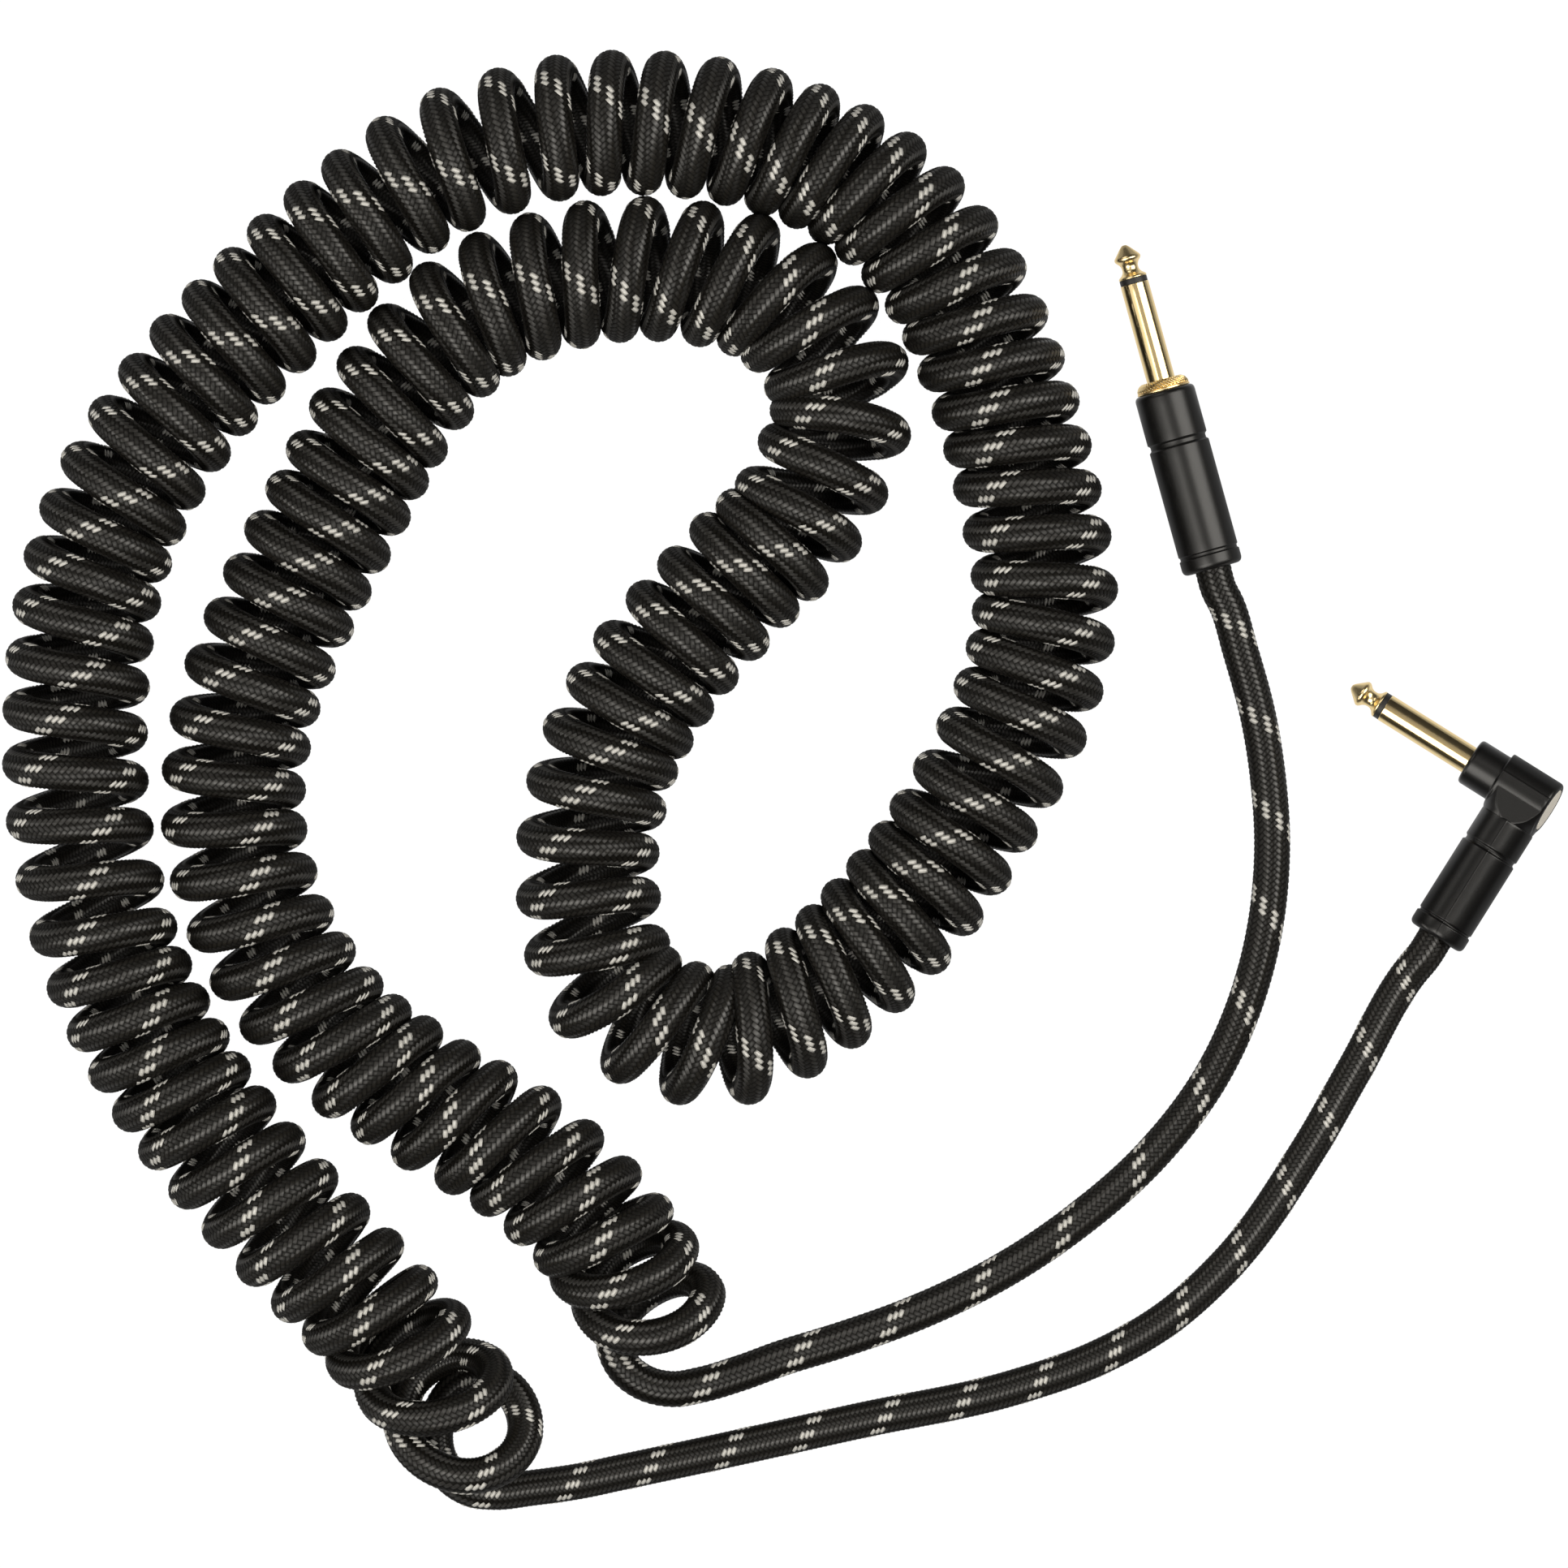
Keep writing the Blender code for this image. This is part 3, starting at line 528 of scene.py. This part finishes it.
def plate(name, outline, low, high, place):
    """A flat outline in x and y, thickened from z low to z high."""
    count = len(outline)
    points = [(x * MM, y * MM, z * MM) for z in (low, high) for x, y in outline]
    corners = [*range(count)][::-1] + [*range(count, 2 * count)]
    sizes = [count, count]
    for k in range(count):
        after = (k + 1) % count
        corners += [k, after, after + count, k + count]
        sizes.append(4)
    obj = mesh_from(name, points, corners, sizes)
    finished(obj)
    obj.matrix_world = place
    return obj


def joined_by(obj, other, operation):
    mod = obj.modifiers.new(other.name, "BOOLEAN")
    mod.operation = operation
    mod.solver = "EXACT"
    mod.object = other


def baked(obj, cutters=()):
    """Applies the modifiers and the placement, and removes the cutters."""
    bpy.context.view_layer.update()
    graph = bpy.context.evaluated_depsgraph_get()
    mesh = bpy.data.meshes.new_from_object(obj.evaluated_get(graph))
    mesh.transform(obj.matrix_world)
    obj.modifiers.clear()
    obj.data = mesh
    obj.matrix_world = Matrix.Identity(4)
    for cutter in cutters:
        bpy.data.objects.remove(cutter)


def piece(obj, body, material, slot, *nodes):
    """Finishes one piece: its material, the body that it rides on and the CAD nodes it stands for."""
    obj.data.materials.clear()
    obj.data.materials.append(material)
    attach(obj, body)
    if nodes:
        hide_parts(*nodes)
    return obj


# ---------------------------------------------------------------------------------------------
# Materials
# ---------------------------------------------------------------------------------------------

class Nodes:
    """A material with a short way to add nodes to it."""

    def __init__(self, name, colour, metallic=0.0, roughness=0.5, **constants):
        self.material = bpy.data.materials.new(name)
        self.material.use_nodes = True
        self.tree = self.material.node_tree
        self.shader = self.tree.nodes["Principled BSDF"]
        self.put("Base Color", (*colour, 1.0))
        self.put("Metallic", metallic)
        self.put("Roughness", roughness)
        for socket, value in constants.items():
            self.put(socket.replace("_", " "), value)

    def put(self, socket, value):
        self.shader.inputs[socket].default_value = value

    def link(self, source, target):
        self.tree.links.new(source, target)

    def add(self, kind, **inputs):
        node = self.tree.nodes.new("ShaderNode" + kind)
        for socket, value in inputs.items():
            self.feed(node.inputs[socket.replace("_", " ")], value)
        return node

    def feed(self, socket, value):
        if isinstance(value, bpy.types.NodeSocket):
            self.link(value, socket)
        else:
            socket.default_value = value

    def maths(self, operation, first, second=0.0):
        node = self.tree.nodes.new("ShaderNodeMath")
        node.operation = operation
        self.feed(node.inputs[0], first)
        self.feed(node.inputs[1], second)
        return node.outputs[0]

    def vector(self, operation, first, second=(0, 0, 0), scale=1.0):
        node = self.tree.nodes.new("ShaderNodeVectorMath")
        node.operation = operation
        self.feed(node.inputs[0], first)
        self.feed(node.inputs[1], second)
        self.feed(node.inputs[3], scale)
        return node.outputs[0]

    def dot(self, first, second):
        return self.vector("DOT_PRODUCT", first, second).node.outputs[1]

    def spread(self, value, low, high, low_in=0.0, high_in=1.0):
        node = self.add("MapRange", Value=value, From_Min=low_in, From_Max=high_in,
                        To_Min=low, To_Max=high)
        return node.outputs["Result"]

    def blend(self, share, first, second):
        node = self.tree.nodes.new("ShaderNodeMix")
        node.data_type = "RGBA"
        self.feed(node.inputs["Factor"], share)
        self.feed(node.inputs[6], first)
        self.feed(node.inputs[7], second)
        return node.outputs[2]

    def noise(self, scale, detail=2.0, vector=None):
        node = self.add("TexNoise", Scale=scale, Detail=detail)
        source = vector or self.add("TexCoord").outputs["Object"]
        self.link(source, node.inputs["Vector"])
        return node.outputs["Fac"]

    def colour(self, socket):
        self.link(socket, self.shader.inputs["Base Color"])

    def roughness(self, socket):
        self.link(socket, self.shader.inputs["Roughness"])

    def bump(self, height, distance, strength):
        node = self.add("Bump", Height=height, Distance=distance, Strength=strength)
        self.link(node.outputs["Normal"], self.shader.inputs["Normal"])

    def dome(self, share, power):
        """Rises from 0 at both ends of 0..1 to 1 in the middle."""
        hump = self.maths("MULTIPLY", share, self.maths("SUBTRACT", 1.0, share))
        return self.maths("POWER", self.maths("MULTIPLY", hump, 4.0), power)

    def weave(self):
        """The two weave coordinates, the way that the first one grows and the way square to it."""
        uv = self.add("UVMap")
        uv.uv_map = "weave"
        split = self.add("SeparateXYZ", Vector=uv.outputs["UV"])
        tangent = self.add("Tangent")
        tangent.direction_type = "UV_MAP"
        tangent.uv_map = "weave"
        first_way = tangent.outputs["Tangent"]
        normal = self.add("NewGeometry").outputs["Normal"]
        return *split.outputs[:2], first_way, self.vector("CROSS_PRODUCT", normal, first_way)


def rgba(*colour):
    return (*colour, 1.0)


def braid_material():
    """Black nylon yarn: each stitch's colour darkens into its ends and edges as painted shade where it
    dives under its neighbours, one set of strands is painted lighter than the other as a painted
    highlight, and each stitch shows its filaments.
    """
    n = Nodes("black_braid", (0.02, 0.018, 0.016), roughness=0.4, Anisotropic=0.85,
              Specular_IOR_Level=0.66)
    turn, lays, round_way, forward = n.weave()
    a = n.maths("MULTIPLY", n.maths("ADD", turn, lays), float(CARRIERS))
    b = n.maths("MULTIPLY", n.maths("SUBTRACT", turn, lays), float(CARRIERS))
    i, j = n.maths("FLOOR", a), n.maths("FLOOR", b)
    fa, fb = n.maths("SUBTRACT", a, i), n.maths("SUBTRACT", b, j)
    step = n.maths("FLOORED_MODULO", n.maths("ADD", i, j), 4.0)
    left = n.maths("LESS_THAN", step, 1.5)
    along_left = n.maths("ADD", step, fb)
    along_right = n.maths("ADD", n.maths("SUBTRACT", step, 2.0), fa)

    def pick(for_left, for_right):
        gap = n.maths("SUBTRACT", for_left, for_right)
        return n.maths("ADD", for_right, n.maths("MULTIPLY", left, gap))

    along = n.maths("MULTIPLY", pick(along_left, along_right), 0.5)
    across = pick(fa, fb)

    # The stitch's dome darkens its colour into its ends and edges: painted shade where each stitch dives
    # under its neighbours. The same dome also shapes the bump, roughness and gloss.
    shape = n.maths("MULTIPLY", n.dome(across, 0.45), n.dome(along, 0.4))
    filament = n.maths("SINE", n.maths("MULTIPLY", across, TAU * 4))
    light = n.maths("MULTIPLY", shape, n.spread(n.noise(900.0), 0.7, 1.15))
    light = n.maths("ADD", light, n.maths("MULTIPLY", filament, 0.06))
    # Stitches where left is 1 get a painted highlight in their colour and the others get painted shade,
    # standing in for how the lamps catch each set of strands.
    light = n.maths("MULTIPLY", light, n.spread(left, 0.6, 1.2))
    n.colour(n.blend(light, rgba(0.0010, 0.0008, 0.0006), rgba(0.0125, 0.0113, 0.0092)))
    n.roughness(n.spread(shape, 0.75, 0.34))
    gloss = n.maths("MULTIPLY", n.spread(shape, 0.05, 0.6), n.spread(left, 0.6, 1.3))
    n.link(gloss, n.shader.inputs["Specular IOR Level"])
    # The yarn's gloss runs across its filaments, which lean one way in each set of strands.
    lean = n.maths("SUBTRACT", n.maths("MULTIPLY", left, 1.2), 0.6)
    sideways = n.vector("SCALE", round_way, scale=lean)
    forward = n.vector("SCALE", forward, scale=0.8)
    n.link(n.vector("ADD", forward, sideways), n.shader.inputs["Tangent"])
    height = n.maths("ADD", shape, n.maths("MULTIPLY", filament, 0.12))
    n.bump(height, 0.00006, 0.6)
    return n.material


def tracer_material():
    """Off-white yarn with fine filaments along each stitch; its colour darkens towards each stitch's tips
    as painted shade where the stitch dives under the braid.
    """
    n = Nodes("white_tracer", (0.3, 0.29, 0.27), roughness=0.34, Anisotropic=0.8,
              Specular_IOR_Level=1.0, IOR=1.6)
    across, along, _, gloss_way = n.weave()
    filament = n.maths("SINE", n.maths("MULTIPLY", across, TAU * 5))
    # The dome along the stitch darkens its colour towards both tips: painted shade where it dives under
    # the black strands.
    light = n.maths("MULTIPLY", n.dome(along, 0.4), n.spread(filament, 0.8, 1.0, -1.0, 1.0))
    n.colour(n.blend(light, rgba(0.10, 0.097, 0.09), rgba(0.54, 0.53, 0.495)))
    n.bump(filament, 0.00003, 0.5)
    n.link(gloss_way, n.shader.inputs["Tangent"])
    return n.material


def gold_material(name, low, high):
    """Bright gold plate with faint turning marks and handling haze."""
    n = Nodes(name, (0.85, 0.63, 0.33), metallic=1.0, roughness=0.12)
    n.put("Specular Tint", rgba(1.0, 0.93, 0.80))
    haze = n.noise(260.0, 3.0)
    n.colour(n.blend(haze, rgba(0.85, 0.65, 0.33), rgba(0.94, 0.76, 0.43)))
    n.roughness(n.spread(n.noise(700.0, 4.0), low, high))
    return n.material


def mottled_material(name, dark, light, metallic=0.0, roughness=(0.4, 0.6),
                     scales=(1200.0, 2400.0, 3600.0), grain=2.0, bump=(0.00001, 0.5), **constants):
    """Mottled colour, uneven gloss and a fine bump, each from a noise of its own scale."""
    n = Nodes(name, light, metallic=metallic, roughness=roughness[0], **constants)
    n.colour(n.blend(n.noise(scales[0], 3.0), rgba(*dark), rgba(*light)))
    n.roughness(n.spread(n.noise(scales[1], 3.0), *roughness))
    n.bump(n.noise(scales[2], grain), *bump)
    return n.material


def satin_material():
    """Satin black lacquer on metal: fine orange peel, slightly worn to a shine."""
    return mottled_material(
        "satin_black_lacquer", (0.0025, 0.0023, 0.0022), (0.005, 0.0047, 0.0045),
        roughness=(0.29, 0.38), scales=(400.0, 1800.0, 2600.0), Specular_IOR_Level=0.44)


def moulding_material():
    """Black moulded plastic with a fine spark-eroded texture."""
    return mottled_material(
        "black_plastic", (0.0018, 0.0017, 0.0017), (0.0042, 0.004, 0.0039),
        roughness=(0.27, 0.36), scales=(500.0, 2200.0, 3200.0), grain=3.0, bump=(0.000015, 0.6),
        Specular_IOR_Level=0.42)


def disc_material():
    """Pale champagne metal, finely blasted."""
    return mottled_material(
        "champagne_metal", (0.85, 0.79, 0.68), (0.95, 0.90, 0.80), 0.2, (0.3, 0.46),
        scales=(700.0, 2500.0, 4200.0), bump=(0.000006, 0.5))


# ---------------------------------------------------------------------------------------------
# Plug pieces
# ---------------------------------------------------------------------------------------------

def finger(tag, place, gold, black):
    """Tip, insulating ring and sleeve of one plug, shoulder at z = 0."""
    tip = [
        (0, FINGER), (0.45, FINGER), (1.0, FINGER - 0.45), (2.88, FINGER - 2.6),
        (3.0, FINGER - 3.0), (2.85, FINGER - 3.45), (2.2, FINGER - 4.1), (1.85, FINGER - 4.8),
        (1.85, FINGER - 5.8), (2.3, FINGER - 6.5), (3.0, FINGER - 7.0), (3.15, FINGER - 7.25),
        (3.15, RING_FRONT + 0.05), (1.1, RING_FRONT + 0.05), (1.1, RING_BACK), (0, RING_BACK),
    ]
    soft = {1: 0.25, 2: 0.35, 3: 0.3, 4: 0.25, 5: 0.3, 6: 0.3, 7: 0.35, 8: 0.35, 9: 0.3, 10: 0.15,
            11: 0.12, 12: 0.08}
    obj = turned(f"{tag}_tip_bright", filleted(tip, soft), place)
    piece(obj, "cable", gold, "gold_plate", f"{tag}_tip")
    loop = [(3.09, RING_FRONT), (3.09, RING_BACK), (1.25, RING_BACK), (1.25, RING_FRONT)]
    obj = turned(f"{tag}_ring_black", filleted(loop, {0: 0.06, 1: 0.06}), place, 160, ring=True)
    piece(obj, "cable", black, "black_insulator", f"{tag}_tip_ring")


def straight_metal(gold, knurled):
    """The straight plug's sleeve, and its collar with the knurl and the threaded shank."""
    loop = [(SLEEVE_R, SLEEVE_FRONT), (SLEEVE_R, -8.0), (2.1, -8.0), (2.1, SLEEVE_FRONT)]
    loop = subdivided(filleted(loop, {0: 0.12}), 2.0, ring=True)
    obj = turned("straight_sleeve_bright", loop, STRAIGHT, ring=True)
    piece(obj, "cable", gold, "gold_plate", "straight_sleeve")
    loop = [
        (4.5, 0), (5.3, -0.45), (5.82, -1.3), (5.85, -1.85), (5.7, -1.92), (5.95, -2.02),
        (5.95, -COLLAR_L), (SHANK_R, -COLLAR_L), (SHANK_R, -SHANK_END),
        (SLEEVE_R + 0.06, -SHANK_END), (SLEEVE_R + 0.06, 0),
    ]
    loop = filleted(loop, {0: 0.25, 1: 0.3, 2: 0.2, 4: 0.05, 5: 0.08, 6: 0.12, 8: 0.3})
    loop = subdivided(loop, 0.09, ring=True)

    def relief(angle, r, z):
        stroke = (angle * KNURL_STROKES + z * KNURL_LEAN) / TAU % 1 - 0.5
        groove = np.exp(-((stroke / KNURL_WIDTH) ** 2))
        shown = np.clip((z + 1.85) / 0.2, 0, 1) * np.clip(-z / 0.25, 0, 1) * (r > SHANK_R + 0.1)
        thread = np.abs((angle / TAU + z / THREAD_PITCH) % 1 * 2 - 1) * THREAD_DEPTH - 0.25
        threaded = (np.abs(r - SHANK_R) < 0.05) & (z < -COLLAR_L - 0.3) & (z > -SHANK_END + 0.2)
        return -KNURL_DEPTH * shown * groove + np.where(threaded, thread, 0)

    obj = turned("straight_collar", loop, STRAIGHT, 480, ring=True, relief=relief, crease=60)
    piece(obj, "cable", knurled, "gold_plate", "straight_body")


def straight_barrel(satin):
    g1, g2 = GROOVE_1, GROOVE_2
    loop = [
        (BARREL_R, -COLLAR_L - 0.05), (BARREL_R, -g1[0]), (BARREL_R - 0.48, -g1[0] - 0.45),
        (BARREL_R - 0.48, -g1[1] + 0.45), (BARREL_R, -g1[1]), (BARREL_R, -g2[0]),
        (BARREL_R - 0.3, -g2[0] - 0.3), (BARREL_R - 0.3, -g2[1] + 0.25), (LIP_R, -g2[1]),
        (LIP_R, -BARREL_END), (EXIT_R + 0.5, -BARREL_END), (EXIT_R, -BARREL_END + 1.2),
        (EXIT_R, -CAVITY_END), (CAVITY_R, -CAVITY_END), (CAVITY_R, -SHANK_END - 0.3),
        (SHANK_R + 0.3, -SHANK_END - 0.3), (SHANK_R + 0.3, -COLLAR_L - 0.05),
    ]
    soft = {0: 1.3, 1: 0.1, 2: 0.12, 3: 0.12, 4: 0.1, 5: 0.1, 6: 0.1, 7: 0.1, 8: 0.1, 9: 1.5,
            10: 0.3, 16: 0.15}
    loop = subdivided(filleted(loop, soft), 2.0, ring=True)
    obj = turned("straight_barrel_satin", loop, STRAIGHT, 256, ring=True)
    piece(obj, "barrel", satin, "black_satin_metal", "straight_barrel")


def angle_sleeve(gold):
    loop = [
        (SLEEVE_R, SLEEVE_FRONT), (SLEEVE_R, -9.8), (3.95, -9.8), (3.95, -10.5), (2.1, -10.5),
        (2.1, SLEEVE_FRONT),
    ]
    loop = subdivided(filleted(loop, {0: 0.12}), 2.0, ring=True)
    obj = turned("angle_sleeve_bright", loop, ANGLE_FINGER, ring=True)
    piece(obj, "cable", gold, "gold_plate", "angle_sleeve")


def angle_head(plastic):
    """The moulded head: a drum on the finger's axis, its boss and the flat-topped block to the neck.

    The block is a plate cut to a cone about the barrel's axis, so its two flats run out in arcs."""
    front = ELBOW - BOSS_L
    drum = [
        (0, ELBOW), (BOSS_R, ELBOW), (BOSS_R, front), (HEAD_R, front), (HEAD_R, HEAD_BACK),
        (5.25, HEAD_BACK), (5.25, -5.5), (0, -5.5),
    ]
    drum = filleted(drum, {1: 1.0, 3: 0.4, 4: 1.0})
    head = turned("angle_head_moulded", drum, ANGLE @ ALONG_X, 160)
    outline = [(-6.0, -2), (6.7, -2), (6.7, 7.6), (-6.0, 7.6)]
    block = plate("head_block", outline, -FLAT_Z, FLAT_Z, ANGLE)
    cone = [
        (0, 7.6), (6.2, 7.6), (6.5, 6.9), (7.5, 5.2), (8.25, 3.0), (8.7, 1.0), (9.0, -2.5), (0, -2.5),
    ]
    cone = turned("head_cone", filleted(cone, {2: 0.5, 3: 0.8, 4: 0.8, 5: 0.8}), ANGLE @ ALONG_Y, 128)
    joined_by(block, cone, "INTERSECT")
    baked(block, (cone,))
    neck = [(0, 13.4), (4.95, 13.4), (4.95, 7.6), (6.2, 7.6), (6.2, 0.5), (0, 0.5)]
    neck = turned("head_neck", neck, ANGLE @ ALONG_Y, 96)
    for part in (block, neck):
        joined_by(head, part, "UNION")
    voxels = head.modifiers.new("voxels", "REMESH")
    voxels.mode = "VOXEL"
    voxels.voxel_size = VOXEL * MM
    voxels.use_smooth_shade = True
    smooth = head.modifiers.new("soft", "SMOOTH")
    smooth.factor = 0.5
    smooth.iterations = 3
    baked(head, (block, neck))
    slanted(head, 3.0)
    piece(head, "cable", plastic, "black_moulding", "angle_head")


def slanted(obj, start):
    """Leans what lies beyond x = start so that the back face looks a little upward."""
    back = ANGLE.inverted()
    for vertex in obj.data.vertices:
        spot = back @ vertex.co
        share = min(max((spot.x / MM - start) / (HEAD_BACK - start), 0), 1)
        spot.x += BACK_SLANT * share * spot.z
        vertex.co = ANGLE @ spot


def cap_disc(champagne):
    loop = [(0, -5.6), (5.1, -5.6), (5.1, HEAD_BACK + 0.05), (0, HEAD_BACK + 0.05)]
    loop = subdivided(filleted(loop, {1: 0.05, 2: 0.12}), 0.5)
    obj = turned("angle_cap_champagne", loop, ANGLE @ ALONG_X)
    baked(obj)
    slanted(obj, HEAD_BACK - 3)
    piece(obj, "cable", champagne, "cap_metal", "angle_cap_disc")


def angle_barrel(plastic):
    c0, c1, cr = COLLAR_A
    m0, m1, mr = MAIN_A
    l0, l1, lr = LIP_A
    cavity_end, cavity_r = CAVITY_A
    outer = [
        (cr, c0), (cr, c1), (cr - 0.4, c1 + 0.4), (cr - 0.4, m0 - 0.4), (mr, m0), (mr, m1),
        (mr - 0.35, m1 + 0.3), (mr - 0.35, l0 - 0.3), (lr, l0), (lr, l1), (EXIT_R + 0.5, l1),
        (EXIT_R, l1 - 1.2), (EXIT_R, cavity_end), (cavity_r, cavity_end), (cavity_r, c0),
    ]
    soft = {0: 0.9, 1: 0.15, 2: 0.15, 3: 0.15, 4: 0.15, 5: 0.12, 6: 0.1, 7: 0.1, 8: 0.15, 9: 1.5,
            10: 0.3}
    loop = subdivided(filleted(outer, soft), 1.0, ring=True)

    def seam(angle, r, z):
        off = np.minimum(np.abs(angle - math.pi), np.minimum(angle, TAU - angle))
        return np.where(r > cr - 0.6, SEAM_HEIGHT * np.exp(-((off * r / SEAM_WIDTH) ** 2)), 0)

    obj = turned("angle_barrel_moulded", loop, ANGLE @ ALONG_Y, 400, ring=True, relief=seam)
    piece(obj, "cable", plastic, "black_moulding", "angle_barrel")


# ---------------------------------------------------------------------------------------------
# Room
# ---------------------------------------------------------------------------------------------

def camera():
    data = bpy.data.cameras.new("camera")
    data.sensor_width = SENSOR
    data.lens = SENSOR * (VIEW_HEIGHT - PLUG_Z * MM) / VIEW_WIDTH
    obj = bpy.data.objects.new("camera", data)
    obj.location = (*VIEW_AT, VIEW_HEIGHT)
    bpy.context.scene.collection.objects.link(obj)
    bpy.context.scene.camera = obj


def floor():
    """Plain white to the camera, and dimmer to the object, except round the two bright fingers."""
    half = FLOOR_SIDE / 2
    points = [(-half, -half, 0), (half, -half, 0), (half, half, 0), (-half, half, 0)]
    obj = mesh_from("floor", points, range(4), [4])
    n = Nodes("floor_white", (0.04, 0.04, 0.04), roughness=0.9, Specular_IOR_Level=0.0)
    n.put("Emission Color", rgba(1, 1, 1))
    seen = n.add("LightPath").outputs["Is Camera Ray"]
    spot = n.add("NewGeometry").outputs["Position"]
    near = 0.0
    for place in (STRAIGHT, ANGLE_FINGER):
        way = place.col[2].xyz.normalized()
        offset = n.vector("SUBTRACT", spot, place @ Vector((0, 0, FINGER / 2 * MM)))
        along = n.maths("ABSOLUTE", n.dot(offset, way))
        across = n.maths("ABSOLUTE", n.dot(offset, way.cross(Vector((0, 0, 1)))))
        share = n.maths("MULTIPLY", n.spread(along, 1, 0, *PIN_ALONG), n.spread(across, 1, 0, *PIN_ACROSS))
        near = n.maths("MAXIMUM", share, near)
    glow = n.spread(near, FLOOR_GLOW, PIN_GLOW)
    n.link(n.spread(seen, glow, 1.0), n.shader.inputs["Emission Strength"])
    obj.data.materials.append(n.material)


def lamp(name, azimuth, elevation, size, radiance):
    """A rectangular soft light that faces the object and is not seen by the camera."""
    data = bpy.data.lights.new(name, "AREA")
    data.shape = "RECTANGLE"
    data.size, data.size_y = size
    data.energy = radiance * math.pi * size[0] * size[1]
    data.color = LAMP_COLOUR
    obj = bpy.data.objects.new(name, data)
    a, e = math.radians(azimuth), math.radians(elevation)
    way = Vector((math.cos(e) * math.cos(a), math.cos(e) * math.sin(a), math.sin(e)))
    obj.location = Vector((*VIEW_AT, 0)) + way * LAMP_DISTANCE
    obj.rotation_euler = way.to_track_quat("Z", "Y").to_euler()
    obj.visible_camera = False
    bpy.context.scene.collection.objects.link(obj)


def room():
    camera()
    floor()
    world = bpy.data.worlds.new("room")
    bpy.context.scene.world = world
    world.use_nodes = True
    tree = world.node_tree
    back = tree.nodes["Background"]
    spot = tree.nodes.new("ShaderNodeTexCoord")
    split = tree.nodes.new("ShaderNodeSeparateXYZ")
    ramp = tree.nodes.new("ShaderNodeValToRGB")
    tree.links.new(spot.outputs["Generated"], split.inputs[0])
    tree.links.new(split.outputs["Z"], ramp.inputs["Fac"])
    tree.links.new(ramp.outputs["Color"], back.inputs["Color"])
    dark, top = ramp.color_ramp.elements
    dark.position, dark.color = SKY_FROM, rgba(*SKY_DARK)
    top.position, top.color = 1.0, rgba(*SKY_TOP)
    for row in LAMPS:
        lamp(*row)
    bpy.context.scene.view_settings.view_transform = "Standard"


# ---------------------------------------------------------------------------------------------
# Build
# ---------------------------------------------------------------------------------------------

def build_cord():
    route = Route()
    cord = jacket(route)
    yarn = tracer(route)
    piece(cord, "cable", braid_material(), "black_tweed", "coil", "lead_straight", "lead_angle")
    piece(yarn, "cable", tracer_material(), "black_tweed")


def build_plugs():
    gold = gold_material("gold_plate_finish", 0.13, 0.19)
    soft_gold = gold_material("gold_plate_soft", 0.22, 0.28)
    knurled = gold_material("gold_plate_knurled", 0.24, 0.32)
    satin = satin_material()
    plastic = moulding_material()
    black = mottled_material("black_ring", (0.005, 0.0045, 0.004), (0.010, 0.009, 0.008))
    finger("straight", STRAIGHT, soft_gold, black)
    straight_metal(gold, knurled)
    straight_barrel(satin)
    angle_sleeve(gold)
    finger("angle", ANGLE_FINGER, soft_gold, black)
    angle_head(plastic)
    cap_disc(disc_material())
    angle_barrel(plastic)


def finish_nodes():
    """The CAD nodes that stay, each with a detailed finish."""
    white = mottled_material("white_nylon", (0.66, 0.63, 0.56), (0.82, 0.80, 0.74))
    steel = mottled_material("tinned_brass_finish", (0.58, 0.55, 0.46), (0.74, 0.71, 0.62), 1.0,
                             (0.25, 0.45))
    liner = mottled_material("clear_liner_finish", (0.55, 0.56, 0.52), (0.70, 0.71, 0.67),
                             roughness=(0.2, 0.35))
    rubber = mottled_material("rubber_finish", (0.016, 0.016, 0.016), (0.03, 0.03, 0.03),
                              roughness=(0.6, 0.8))
    red = mottled_material("core_insulation_finish", (0.55, 0.06, 0.05), (0.72, 0.10, 0.08))
    copper = mottled_material("copper_finish", (0.62, 0.28, 0.15), (0.80, 0.42, 0.26), 1.0,
                              (0.25, 0.45))
    braid = mottled_material("tinned_braid_finish", (0.42, 0.38, 0.33), (0.68, 0.63, 0.57), 1.0,
                             (0.35, 0.55), scales=(4000.0, 8000.0, 12000.0))
    finishes = {
        white: ("straight_rod_insulator", "straight_back_washer", "angle_rod_insulator",
                "angle_back_washer"),
        steel: ("straight_tip_lug", "straight_ground_clamp", "angle_tip_lug", "angle_ground_lug"),
        liner: ("straight_liner",),
        rubber: ("straight_strain_relief", "angle_strain_relief"),
        red: ("straight_core_insulation", "angle_core_insulation"),
        copper: ("straight_core_wire", "angle_core_wire"),
        braid: ("straight_shield_pigtail", "angle_shield_pigtail"),
    }
    for material, names in finishes.items():
        for name in names:
            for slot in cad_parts[name].material_slots:
                slot.material = material


room()
build_cord()
build_plugs()
finish_nodes()
